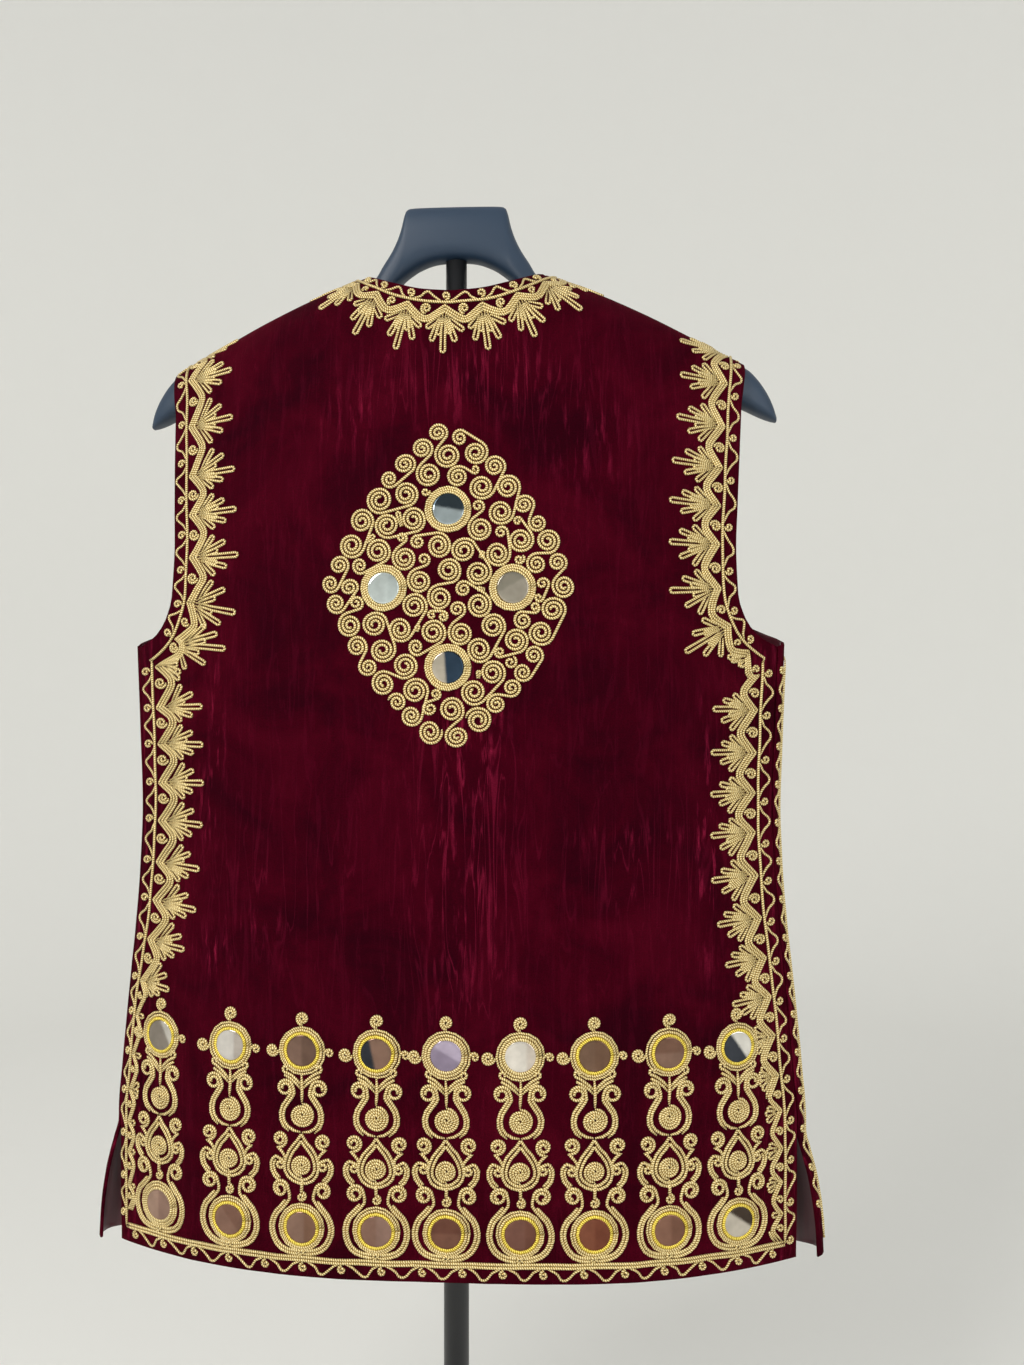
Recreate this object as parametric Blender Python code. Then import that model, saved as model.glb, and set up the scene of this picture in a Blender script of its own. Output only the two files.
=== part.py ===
"""Embroidered velvet vest on a hanger-headed display stand.

The vest is a flattened tube of cloth: a back panel and two front panels, open at the neck,
armholes, front and hem, with a slit at the foot of each side seam.  Its embroidery is couched cord,
raised from the cloth as gold plates with the outlines of the motifs, around small round mirrors.
Sizes are in millimetres and are turned to metres where the meshes are made.

Frame: +Z up, the back of the vest faces -Y, the wearer's right is +X, floor at Z = 0.
A place on a panel is given flat, as (s, h): s runs round the tube from its centre line, and h is the
height, which goes on upwards over the rounded shoulder to the shoulder seam.
"""
import math

import bmesh
import bpy
import numpy as np
from mathutils.geometry import delaunay_2d_cdt

MM = 0.001

# ---- cloth ----
WALL = 2.0              # velvet with its backing
SEAM_GAP = 0.3
SIDE_ROUND = 12.0       # radius of the fold at each side
TUBE_POWER = 2.8        # above 2 the tube is flatter in the middle and rounder at its sides
HEM_Z = 300.0
UNDERARM_Z = 722.0
TOP_BAND_Z = 890.0      # rows above this height turn to follow the shoulder and the neck
SHOULDER_ROUND = 34.0   # height over which the cloth bends onto the shoulder line
NECK_X = 64.5           # where shoulder seam and neckline meet
BACK, FRONT = -1, 1
LEFT, RIGHT = -1, 1
SEAM_ANGLE = {LEFT: math.radians(-45), RIGHT: math.radians(-60)}  # place of the side seam on the fold
HALF_PI = math.pi / 2
TUBE_SAMPLES, FOLD_SAMPLES = 60, 26     # points of a half section, before the fold and round it

# Tube of the body: height, half width, depth behind the side line, depth before it.
BODY = np.array([
    (300, 243.0, 58, 54), (345, 243.5, 58, 54), (390, 243.5, 58, 54), (430, 240.5, 58, 54),
    (485, 235.5, 58, 53), (530, 231.0, 58, 52), (570, 228.0, 58, 52), (610, 226.5, 58, 52),
    (660, 228.0, 58, 52), (722, 230.5, 58, 52), (780, 232.0, 58, 52), (1010, 233.0, 58, 52)], float)
# Outward swing of the fronts' lower corners: height, extra half width.
FLARE = np.array([(300, 15.0), (320, 13.5), (350, 9.0), (375, 2.5), (384, 0.0), (1010, 0.0)])
# Shoulder line: distance from the centre, height.
SHOULDER = np.array([(0, 1006.0), (62, 984.5), (98, 972.0), (136, 957.0), (171, 941.5),
                     (200, 928.5), (215, 921.5), (240, 909.5)])
# Armhole edge: height, distance in from the side seam's width at the underarm, and in front the
# share of the side fold that is cut away too and a deeper scoop.
ARMHOLE = np.array([(722, 0.0, 0.0, 0.0), (725.5, 9.0, 0.18, 0.4), (731, 18.5, 0.46, 1.0),
                    (741, 27.0, 0.86, 3.0), (757, 32.5, 1.0, 7.0), (785, 33.5, 1.0, 9.0),
                    (820, 31.0, 1.0, 9.0), (860, 27.0, 1.0, 7.0), (905, 22.0, 1.0, 5.5),
                    (925, 20.5, 1.0, 5.5), (1010, 20.5, 1.0, 5.5)])
ARMHOLE_TOP = 925.0     # the edge runs straight up from here
# Back neckline: distance from the centre, flat height.
NECKLINE = np.array([(0, 963.5), (20, 965.3), (38, 970.5), (51, 978.0), (60, 989.0), (64.5, 1003.0)])
# Inner edge of a front, neck and opening: height, distance from the centre.
FRONT_EDGE = np.array([(300, 11.0), (700, 6.0), (790, 5.5), (815, 10.0), (850, 22.0), (890, 36.0),
                       (930, 49.5), (965, 59.0), (1003, 64.5), (1060, 64.5)])
BLEND_LOW, BLEND_HIGH = 722.0, 985.0    # between them the tube takes the hanger's curve
BLEND_DROP = 96.0                       # how much lower that is done at the shoulder tips
HANGER_SWEEP = 28.0                     # how far forward the hanger curves at SWEEP_X
SWEEP_X = 225.0
UPPER_BACK = (34.0, 20.0)               # depth from the hanger's line at the centre, at the shoulder tip
UPPER_FRONT = (30.0, 20.0)
SHOULDER_TIP_X = 205.0

# ---- rows and columns of the panels ----
BODY_ROWS = (300, 342, 384, 412, 446, 480, 514, 548, 582, 620, 670, 722, 725.5, 731, 741, 757, 785, 812,
             838, 864, 890)
TOP_ROWS = (0.3, 0.56, 0.76, 0.9, 1.0)
BACK_COLUMNS = (0, 0.1, 0.19, 0.268, 0.301, 0.42, 0.54, 0.66, 0.77, 0.86, 0.93, 1.0)
FRONT_COLUMNS = (0, 0.1, 0.22, 0.35, 0.48, 0.6, 0.71, 0.8, 0.87, 0.905, 0.93, 0.955, 0.978, 1.0)

# ---- embroidery ----
LIFT = 0.45              # clear of the cloth
CORD = 2.3               # thickness of the couched cord
PALMETTE_PITCH = 24.75
ARMHOLE_PITCH = 29.5
BORDER_MARGIN = 3.2      # plain velvet outside the border
RIDGE_MARGIN = 2.0       # from a border's cut end to the shoulder seam
PALMETTE_ROOT = 25.5     # depth of the valley between two palmettes
# Half a palmette's outline: share of the half pitch, depth from the garment's edge.
PALMETTE = ((0.0, 41.8), (0.26, 34.0), (0.58, 34.5), (1.0, PALMETTE_ROOT))
PLAIN_PALMETTE = ((0.0, 41.8), (0.55, 34.0), (1.0, PALMETTE_ROOT))
FOLD_CLEAR = 25.5        # the fronts' side borders are raised from here on, past the side fold
FOLD_PALMETTE = ((0.0, 41.5), (0.5, 34.5), (1.0, 29.5))
# Size of the side borders' palmettes, which shrink beside the columns: flat height, share.
SIDE_PALMETTES = {LEFT: np.array([(300, 0.16), (475, 0.2), (510, 1.0), (722, 1.0)]),
                  RIGHT: np.array([(300, 0.36), (380, 0.42), (465, 0.5), (500, 1.0), (722, 1.0)])}
HEM_BAND = 13.6
FOLLOW = 0.2             # how closely a plate's flat facets follow the cloth

# ---- columns of ornament above the hem ----
COLUMN_PLACES = (-209, -151, -98.5, -47.5, -1, 48, 97, 147.5, 197)   # round the back from its centre
UPPER_MIRROR_H = 451.0
LOWER_MIRROR_DROP = 117.5
MIRROR_D = 20.2
MIRROR_THICK = 1.2
MIRROR_SIDES = 14
RING_HOLE_D = 21.6
# Half outline of one column: distance from its centre line, drop below the upper mirror's centre.
COLUMN_HALF = (
    (0, -25.2), (4.6, -22.5), (4.4, -17.0), (9.5, -12.0), (15.2, -5.0), (20.4, -4.6), (22.6, 0.0),
    (20.4, 4.6), (15.0, 5.2), (15.6, 12.5), (9.0, 19.0), (17.4, 23.0), (17.2, 29.5), (12.6, 34.0),
    (13.2, 46.0), (7.0, 56.5), (12.0, 57.0), (20.8, 60.5), (19.4, 68.0), (22.4, 77.0), (21.6, 86.0),
    (20.0, 95.5), (12.5, 101.5), (18.0, 110.0), (20.4, 120.0), (16.0, 130.0), (6.0, 136.0))

# ---- medallion ----
MEDALLION_H = 761.0
MEDALLION_HALF = (84.0, 112.0)
MEDALLION_LOBES = 7      # scallops along each of its four sides
LOBE_RISE = 6.0
MEDALLION_MIRRORS = ((0, 51.0), (-43.0, -1.5), (43.0, -1.5), (0, -54.0))   # from its centre

# ---- hanger ----
HANGER_CLEAR = 0.9
HANGER_ARM_X = (61.0, 209.0)     # between these the arms lie just under the cloth's shoulder line
# Half of the hanger: distance from the centre, top, underside, half thickness.
HANGER = np.array([
    (0, 1034.0, 996.0, 11), (14, 1034.0, 994.6, 11), (26, 1034.0, 990.4, 11),
    (32.5, 1033.7, 986.3, 11), (35.2, 1032.4, 984.3, 11), (36.6, 1029.0, 983.2, 11),
    (38.6, 1020.5, 981.3, 11), (41.6, 1011.5, 978.3, 11), (46.0, 1002.5, 973.4, 11.0),
    (51.5, 994.0, 966.6, 10.8), (57.0, 985.2, 960.6, 10.4), (62.0, 982.0, 956.6, 10.8),
    (80.0, 976.0, 949.0, 12.2), (100.0, 970.8, 941.0, 13.8), (125.0, 959.8, 930.0, 13.8),
    (150.0, 948.2, 919.0, 13.6), (175.0, 936.6, 907.5, 13.2), (196.0, 928.0, 898.0, 12.8),
    (208.0, 921.8, 893.0, 12.2), (215.0, 915.6, 890.0, 11.4), (221.5, 907.0, 887.6, 10),
    (226.5, 897.6, 886.2, 7.5), (229.5, 889.6, 885.6, 4.0)])
HANGER_RING = 10         # points round each section of the hanger

# ---- stand ----
BASE_R = 140.0
BASE_THICK = 10.0
BASE_EDGE = 2.5
BASE_SIDES = 36
HUB_R = 17.0
HUB_TOP = 34.0
POLE_LOW_R = 8.9
POLE_HIGH_R = 7.4
POLE_JOIN_Z = 620.0
COLLAR_R = 13.0
COLLAR_H = 26.0
ROUNDING = 1.5           # at the rims of hub and collar
ROUND_SIDES = 24

COLOURS = {
    "velvet": ((0.068, 0.002, 0.011, 1), 0.85, 0.0),
    "gold_cord": ((0.56, 0.40, 0.13, 1), 0.42, 0.9),
    "mirror_glass": ((0.8, 0.8, 0.8, 1), 0.06, 1.0),
    "black_plastic": ((0.03, 0.035, 0.042, 1), 0.45, 0.0),
    "black_steel": ((0.012, 0.012, 0.013, 1), 0.4, 0.6),
}


# ---------------------------------------------------------------- small helpers
def clear_scene():
    for old in list(bpy.data.objects):
        bpy.data.objects.remove(old, do_unlink=True)


def material(name):
    """The named finish, made once."""
    found = bpy.data.materials.get(name)
    if found:
        return found
    colour, roughness, metallic = COLOURS[name]
    made = bpy.data.materials.new(name)
    made.use_nodes = True
    shader = made.node_tree.nodes["Principled BSDF"]
    shader.inputs["Base Color"].default_value = colour
    shader.inputs["Roughness"].default_value = roughness
    shader.inputs["Metallic"].default_value = metallic
    made.diffuse_color = colour
    return made


def smooth(table, x, column=1):
    """A table's column at x, on a smooth curve through its rows that never overshoots them."""
    xs, ys = table[:, 0], table[:, column]
    x = np.clip(np.asarray(x, float), xs[0], xs[-1])
    i = np.clip(np.searchsorted(xs, x, side="right") - 1, 0, len(xs) - 2)
    rise = np.diff(ys) / np.diff(xs)
    before, after = rise[:-1], rise[1:]
    turns = before * after <= 0
    inner = np.where(turns, 0, 2 * before * after / np.where(turns, 1, before + after))
    slope = np.concatenate([rise[:1], inner, rise[-1:]])
    step = xs[i + 1] - xs[i]
    t = (x - xs[i]) / step
    return ((2 * t**3 - 3 * t**2 + 1) * ys[i] + (t**3 - 2 * t**2 + t) * step * slope[i]
            + (3 * t**2 - 2 * t**3) * ys[i + 1] + (t**3 - t**2) * step * slope[i + 1])


def add_mesh(name, points, faces, finish):
    """An object from points in millimetres, with its faces turned outwards."""
    mesh = bpy.data.meshes.new(name)
    mesh.from_pydata([tuple(MM * value for value in point) for point in points], [], faces)
    shaped = bmesh.new()
    shaped.from_mesh(mesh)
    bmesh.ops.recalc_face_normals(shaped, faces=shaped.faces)
    shaped.to_mesh(mesh)
    shaped.free()
    mesh.shade_smooth()
    mesh.set_sharp_from_angle(angle=math.radians(35))
    made = bpy.data.objects.new(name, mesh)
    bpy.context.scene.collection.objects.link(made)
    made.data.materials.append(material(finish))
    return made


# ---------------------------------------------------------------- shape of the cloth
def hanger_line(x):
    """How far forward the middle of the hanger lies at x."""
    return HANGER_SWEEP * (np.asarray(x) / SWEEP_X) ** 2


def sections(face, z):
    """Half sections of the tube at heights z: x, y and length from the centre line, a row each."""
    z = np.atleast_1d(z).astype(float)[:, None]
    half = smooth(BODY, z) + (smooth(FLARE, z) if face == FRONT else 0)
    depth = smooth(BODY, z, 2 if face == BACK else 3)
    a, b = half - SIDE_ROUND, depth - SIDE_ROUND
    t = np.linspace(0, 1, TUBE_SAMPLES)[None, :]
    lean = np.arctan2(1.0, TUBE_POWER * b * t ** (TUBE_POWER - 1) / a)
    tip = lean[:, -1:]
    x = a * t + SIDE_ROUND * np.cos(lean)
    y = face * (b * (1 - t**TUBE_POWER) + SIDE_ROUND * np.sin(lean))
    turn = tip + (math.radians(-85) - tip) * np.linspace(0, 1, FOLD_SAMPLES)[None, 1:]
    x = np.hstack([x, a + SIDE_ROUND * np.cos(turn)])
    y = np.hstack([y, face * SIDE_ROUND * np.sin(turn)])
    high = BLEND_HIGH - BLEND_DROP * (x / SHOULDER_TIP_X) ** 2
    mix = np.clip((z - BLEND_LOW) / (high - BLEND_LOW), 0, 1) ** 1.5
    middle, end = UPPER_BACK if face == BACK else UPPER_FRONT
    reach = middle + (end - middle) * np.clip(x / SHOULDER_TIP_X, 0, 1.1) ** 2
    y = (1 - mix) * y + mix * (hanger_line(x) + face * reach)
    length = np.hstack([np.zeros_like(z), np.cumsum(np.hypot(np.diff(x), np.diff(y)), axis=1)])
    return x, y, length


def at_length(columns, length, s):
    """The columns' values at the distance s along each row."""
    i = np.clip((length <= s[:, None]).sum(axis=1) - 1, 0, length.shape[1] - 2)
    row = np.arange(len(s))
    t = (s - length[row, i]) / (length[row, i + 1] - length[row, i])
    return [column[row, i] + t * (column[row, i + 1] - column[row, i]) for column in columns]


def seam_length(face, side, z):
    """Distance round the tube from the centre line to the side seam at heights z."""
    z = np.atleast_1d(z).astype(float)
    half = smooth(BODY, z) + (smooth(FLARE, z) if face == FRONT else 0)
    depth = smooth(BODY, z, 2 if face == BACK else 3)
    tip = np.arctan2(1.0, TUBE_POWER * (depth - SIDE_ROUND) / (half - SIDE_ROUND))
    length = sections(face, z)[2]
    return length[:, TUBE_SAMPLES - 1] + SIDE_ROUND * (tip - face * SEAM_ANGLE[side]) - SEAM_GAP / 2


def skin(face, s, h, out=0.0):
    """Points of the cloth's outer face at flat places (s, h), moved out along its normal."""
    s, h = np.broadcast_arrays(np.asarray(s, float), np.asarray(h, float))
    shape = s.shape
    s, h = s.ravel(), h.ravel()

    def surface(s, h):
        z = np.minimum(h, smooth(SHOULDER, np.abs(s)))
        for _ in range(3):
            x, y, length = sections(face, z)
            x, y = at_length((x, y), length, np.abs(s))
            ridge = smooth(SHOULDER, x)
            drop = ridge - SHOULDER_ROUND + SHOULDER_ROUND * HALF_PI - h
            bend = np.minimum(drop / SHOULDER_ROUND, HALF_PI)
            z = np.where(bend < HALF_PI, ridge - SHOULDER_ROUND * (1 - np.cos(bend)), h)
        middle = hanger_line(x)
        return np.stack([np.sign(s) * x, middle + (y - middle) * np.sin(bend), z], axis=1)

    step = 0.6
    s = np.where(s == 0, 1e-6, s)
    point = surface(s, h)
    across = surface(np.abs(s) + step, h) - surface(np.maximum(np.abs(s) - step, 1e-6), h)
    across[:, 0] *= np.sign(s)
    upward = surface(s, h + step) - surface(s, h - step)
    normal = np.cross(across, upward) * (-face * np.sign(s))[:, None]
    normal /= np.linalg.norm(normal, axis=1)[:, None]
    return (point + normal * out).reshape(shape + (3,))


def ridge_flat(face, s):
    """Flat height of the shoulder seam at the distances s from a panel's centre line."""
    s = np.abs(np.atleast_1d(s)).astype(float)
    ridge = smooth(SHOULDER, s)
    for _ in range(3):
        x, _, length = sections(face, ridge)
        ridge = smooth(SHOULDER, at_length((x,), length, s)[0])
    return ridge + SHOULDER_ROUND * (HALF_PI - 1)


def edge_length(face, side, h):
    """Distance round the tube from the centre line to a panel's outer edge at flat heights h."""
    h = np.atleast_1d(h).astype(float)
    z = np.minimum(h, ARMHOLE_TOP)
    seam = seam_length(face, side, np.minimum(z, UNDERARM_Z))
    inset = smooth(ARMHOLE, z)
    if face == FRONT:
        fold = seam_length(FRONT, side, UNDERARM_Z) - seam_length(BACK, side, UNDERARM_Z)
        inset = inset + fold * smooth(ARMHOLE, z, 2) + smooth(ARMHOLE, z, 3)
    return seam - np.where(z > UNDERARM_Z, inset, 0)


# ---------------------------------------------------------------- panels
def panel(name, face, grid):
    """A closed wall of cloth from a grid of flat places, rows upwards, split along its low diagonals."""
    rows, columns = grid.shape[:2]
    outer = skin(face, grid[..., 0], grid[..., 1])
    inner = skin(face, grid[..., 0], grid[..., 1], -WALL)
    points = np.concatenate([outer.reshape(-1, 3), inner.reshape(-1, 3)])
    count = rows * columns
    faces = []
    for r in range(rows - 1):
        for c in range(columns - 1):
            a = r * columns + c
            quad = [a, a + 1, a + 1 + columns, a + columns]
            twist = points[quad[0]] + points[quad[2]] - points[quad[1]] - points[quad[3]]
            if np.dot(twist, points[a] - points[a + count]) > 0:
                quad = quad[1:] + quad[:1]
            for half in (quad[:3], [quad[0], quad[2], quad[3]]):
                faces.append(tuple(half))
                faces.append(tuple(count + v for v in reversed(half)))
    rim = [c for c in range(columns)]
    rim += [r * columns + columns - 1 for r in range(1, rows)]
    rim += [(rows - 1) * columns + c for c in range(columns - 2, -1, -1)]
    rim += [r * columns for r in range(rows - 2, 0, -1)]
    for a, b in zip(rim, rim[1:] + rim[:1]):
        faces.append((a, b, count + b, count + a))
    return add_mesh(name, points, faces, "velvet")


def back_grid():
    """Flat places of the back: its top row runs along both shoulders and the neck."""
    half = list(BACK_COLUMNS)
    shares = [-u for u in reversed(half[1:])] + half
    grid = []
    for h in BODY_ROWS:
        grid.append([(u * edge_length(BACK, RIGHT if u > 0 else LEFT, h)[0], h) for u in shares])
    for share in TOP_ROWS:
        row = []
        for u in shares:
            side = RIGHT if u > 0 else LEFT
            s = u * edge_length(BACK, side, TOP_BAND_Z)[0]
            h = TOP_BAND_Z
            for _ in range(3):
                s = u * edge_length(BACK, side, h)[0]
                h = TOP_BAND_Z + share * (back_top(abs(s)) - TOP_BAND_Z)
            row.append((s, h))
        grid.append(row)
    return np.array(grid)


def back_top(s):
    """Flat height of the back's upper edge at the distance s from its centre line."""
    if s < NECK_X:
        return float(smooth(NECKLINE, s))
    return ridge_flat(BACK, s)[0] - SEAM_GAP / 2


def front_grid(side):
    """Flat places of a front: its inner edge is the opening and the neckline."""
    grid = []
    for h in BODY_ROWS:
        inner, outer = float(smooth(FRONT_EDGE, h)), edge_length(FRONT, side, h)[0]
        grid.append([(side * (inner + u * (outer - inner)), h) for u in FRONT_COLUMNS])
    for share in TOP_ROWS:
        row = []
        for u in FRONT_COLUMNS:
            h = TOP_BAND_Z
            for _ in range(4):
                inner, outer = float(smooth(FRONT_EDGE, h)), edge_length(FRONT, side, h)[0]
                s = inner + u * (outer - inner)
                h = TOP_BAND_Z + share * (ridge_flat(FRONT, s)[0] - SEAM_GAP / 2 - TOP_BAND_Z)
            row.append((side * s, h))
        grid.append(row)
    return np.array(grid)


# ---------------------------------------------------------------- raised plates
def inside(loops, x, y):
    """Whether points lie within the loops, by the even and odd rule."""
    within = np.zeros(len(x), bool)
    for loop in loops:
        ax, ay = loop[:, 0], loop[:, 1]
        bx, by = np.roll(ax, -1), np.roll(ay, -1)
        crosses = (ay[None] > y[:, None]) != (by[None] > y[:, None])
        rise = np.where(by == ay, 1e-9, by - ay)
        reach = ax[None] + (y[:, None] - ay[None]) * (bx - ax)[None] / rise[None]
        within ^= (crosses & (x[:, None] < reach)).sum(axis=1) % 2 == 1
    return within


def bulge(face, a, b):
    """How far the cloth's face lies from the straight lines between flat places a and b."""
    ends = [skin(face, *end.T, LIFT) for end in (a, b)]
    middle = skin(face, *((a + b) / 2).T, LIFT)
    return np.linalg.norm(middle - (ends[0] + ends[1]) / 2, axis=1)


def followed(face, loop):
    """The loop with points added until its straight sides follow the cloth."""
    for _ in range(5):
        after = np.roll(loop, -1, axis=0)
        split = bulge(face, loop, after) > FOLLOW
        if not split.any():
            break
        loop = np.concatenate([[p, (p + q) / 2] if cut else [p] for p, q, cut in zip(loop, after, split)])
    return loop


def triangulated(loops, extra):
    """Flat places and triangles that fill the loops, using the extra places too."""
    edges, start = [], 0
    for loop in loops:
        count = len(loop)
        edges += [(start + k, start + (k + 1) % count) for k in range(count)]
        start += count
    flat = [tuple(p) for p in np.concatenate([*loops, extra])]
    places, _, triangles, _, _, _ = delaunay_2d_cdt(flat, edges, [], 0, 1e-5)
    places = np.array([tuple(p) for p in places])
    triangles = np.array(triangles)
    middle = places[triangles].mean(axis=1)
    return places, triangles[inside(loops, middle[:, 0], middle[:, 1])]


def plate(name, face, loops, finish="gold_cord"):
    """A closed plate that follows the cloth, with flat outlines and holes given as loops."""
    loops = [followed(face, np.asarray(loop, float)) for loop in loops]
    extra = np.zeros((0, 2))
    for _ in range(4):
        places, triangles = triangulated(loops, extra)
        pairs = np.sort(np.concatenate([triangles[:, [k, (k + 1) % 3]] for k in range(3)]), axis=1)
        pairs = np.unique(pairs, axis=0)
        ends = places[pairs[:, 0]], places[pairs[:, 1]]
        split = bulge(face, *ends) > FOLLOW
        if not split.any():
            break
        extra = np.concatenate([extra, (ends[0][split] + ends[1][split]) / 2])
    low = skin(face, *places.T, LIFT)
    high = skin(face, *places.T, LIFT + CORD)
    count = len(places)
    faces = [tuple(int(v) for v in tri) for tri in triangles]
    sides = {pair for tri in faces for pair in zip(tri, tri[1:] + tri[:1])}
    border = [(a, b) for a, b in sides if (b, a) not in sides]
    solid = [tuple(v + count for v in tri) for tri in faces]
    solid += [tuple(reversed(tri)) for tri in faces]
    solid += [(a, b, b + count, a + count) for a, b in sorted(border)]
    return add_mesh(name, np.concatenate([low, high]), solid, finish)


class Edge:
    """A garment edge in flat places, walked by length, with its direction into the panel."""

    def __init__(self, face, places, inward):
        self.face = face
        self.places = np.asarray(places, float)
        steps = np.hypot(*np.diff(self.places, axis=0).T)
        self.length = np.concatenate([[0], np.cumsum(steps)])
        tangent = np.gradient(self.places, self.length, axis=0)
        tangent /= np.linalg.norm(tangent, axis=1)[:, None]
        self.normal = inward * np.stack([-tangent[:, 1], tangent[:, 0]], axis=1)

    @property
    def total(self):
        return self.length[-1]

    def at(self, along, depth):
        """The flat place at a distance along the edge and a depth into the panel."""
        along, depth = np.broadcast_arrays(np.asarray(along, float), np.asarray(depth, float))
        place = [np.interp(along, self.length, self.places[:, k]) for k in (0, 1)]
        normal = [np.interp(along, self.length, self.normal[:, k]) for k in (0, 1)]
        size = np.hypot(*normal)
        return np.stack([place[k] + normal[k] / size * depth for k in (0, 1)], axis=-1)


def outer_edge(face, side, low, high, count):
    """The side seam or armhole edge between two flat heights."""
    h = np.linspace(low, high, count)
    return Edge(face, np.stack([side * edge_length(face, side, h), h], axis=1), side)


def armhole_edge(face, side):
    """The armhole from the underarm to the shoulder seam."""
    top = ridge_flat(face, edge_length(face, side, ARMHOLE_TOP)) - SEAM_GAP / 2
    heights = np.concatenate([UNDERARM_Z + np.array([0, 0.8, 1.8, 3.5]), np.arange(728, 745, 3),
                              np.arange(748, ARMHOLE_TOP, 8), top])
    return Edge(face, np.stack([side * edge_length(face, side, heights), heights], axis=1), side)


def neck_edge():
    s = np.array([*np.linspace(-NECK_X, -50, 9), *np.linspace(-44, 44, 17), *np.linspace(50, NECK_X, 9)])
    return Edge(BACK, np.stack([s, smooth(NECKLINE, np.abs(s))], axis=1), -1)


def front_edge(side):
    """The neckline and opening of a front, from the shoulder seam down to the hem."""
    top = ridge_flat(FRONT, NECK_X)[0] - SEAM_GAP / 2
    h = np.concatenate([np.linspace(top, 775, 40), np.linspace(760, HEM_Z, 30)])
    return Edge(FRONT, np.stack([side * smooth(FRONT_EDGE, h), h], axis=1), side)


def hem_edge(face, start, end):
    s = np.linspace(start, end, 40)
    return Edge(face, np.stack([s, np.full_like(s, HEM_Z)], axis=1), math.copysign(1, end - start))


def palmette_band(edge, start, end, half=PALMETTE, sizes=None, margin=BORDER_MARGIN, pitch=PALMETTE_PITCH):
    """Flat outline of a border of palmettes along an edge, full size or by a table of heights."""
    count = max(1, round((end - start) / pitch))
    pitch = (end - start) / count
    along, depth = [], []
    for k in range(count):
        middle = start + (k + 0.5) * pitch
        size = 1.0 if sizes is None else float(smooth(sizes, edge.at(middle, 0)[1]))
        for share, reach in [(-share, reach) for share, reach in reversed(half)] + list(half[1:-1]):
            along.append(middle + share * pitch / 2)
            depth.append(PALMETTE_ROOT * min(1, size + 0.15) + (reach - PALMETTE_ROOT) * size)
    along.append(end)
    depth.append(depth[0])
    back = np.linspace(end, start, count + 1)
    along = np.concatenate([along, back])
    depth = np.concatenate([depth, np.full(len(back), margin)])
    places = edge.at(along, depth)
    places[:, 1] = np.minimum(places[:, 1], ridge_flat(edge.face, places[:, 0]) - RIDGE_MARGIN)
    return places


def plain_band(edge, start, end, step=16.0):
    """Flat outline of an even border along an edge."""
    run = np.linspace(start, end, max(2, round((end - start) / step)))
    along = np.concatenate([run, run[::-1]])
    depth = np.concatenate([np.full(len(run), HEM_BAND), np.full(len(run), BORDER_MARGIN)])
    return edge.at(along, depth)


def ring_loop(s, h, diameter, sides=11):
    turn = np.arange(sides) * 2 * math.pi / sides
    return np.stack([s + diameter / 2 * np.cos(turn), h + diameter / 2 * np.sin(turn)], axis=1)


def mirror(name, s, h):
    """A flat round mirror, seated on the cloth and square to it."""
    place, tip = skin(BACK, [s, s], [h, h], np.array([[0.0], [1.0]]))
    normal = tip - place
    side = np.cross(normal, (0, 0, 1))
    side /= np.linalg.norm(side)
    up = np.cross(side, normal)
    rings = []
    for out in (LIFT, LIFT + MIRROR_THICK):
        for k in range(MIRROR_SIDES):
            turn = 2 * math.pi * k / MIRROR_SIDES
            rings.append(place + normal * out + MIRROR_D / 2 * (side * math.cos(turn) + up * math.sin(turn)))
    n = MIRROR_SIDES
    faces = [tuple(range(n)), tuple(range(2 * n - 1, n - 1, -1))]
    faces += [(k, (k + 1) % n, n + (k + 1) % n, n + k) for k in range(n)]
    return add_mesh(name, rings, faces, "mirror_glass")


def ornament_column(number):
    """One column above the hem: a raised outline with its two mirrors let into it."""
    s = COLUMN_PLACES[number - 1]
    right = [(s + dx, UPPER_MIRROR_H - drop) for dx, drop in COLUMN_HALF]
    left = [(s - dx, UPPER_MIRROR_H - drop) for dx, drop in reversed(COLUMN_HALF) if dx > 0]
    heights = {"upper": UPPER_MIRROR_H, "lower": UPPER_MIRROR_H - LOWER_MIRROR_DROP}
    holes = [ring_loop(s, h, RING_HOLE_D) for h in heights.values()]
    plate(f"ornament_column_{number}", BACK, [right + left, *holes])
    for where, h in heights.items():
        mirror(f"mirror_{where}_{number}", s, h)


def medallion():
    """A lozenge with scalloped sides, pierced for four mirrors."""
    corners = [(0, MEDALLION_HALF[1]), (MEDALLION_HALF[0], 0), (0, -MEDALLION_HALF[1]),
               (-MEDALLION_HALF[0], 0)]
    outline = []
    for (ax, ay), (bx, by) in zip(corners, corners[1:] + corners[:1]):
        nx, ny = (ax + bx) / 2, (ay + by) / 2
        size = math.hypot(nx, ny)
        for k in range(2 * MEDALLION_LOBES):
            t = k / (2 * MEDALLION_LOBES)
            belly = 10.0 * math.sin(math.pi * t)
            rise = belly + (LOBE_RISE if k % 2 else 0.0) - LOBE_RISE
            outline.append((ax + t * (bx - ax) + rise * nx / size,
                            MEDALLION_H + ay + t * (by - ay) + rise * ny / size))
    centres = [(s, MEDALLION_H + h) for s, h in MEDALLION_MIRRORS]
    plate("medallion", BACK, [outline, *[ring_loop(s, h, RING_HOLE_D) for s, h in centres]])
    for number, (s, h) in enumerate(centres, 1):
        mirror(f"mirror_medallion_{number}", s, h)


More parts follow.
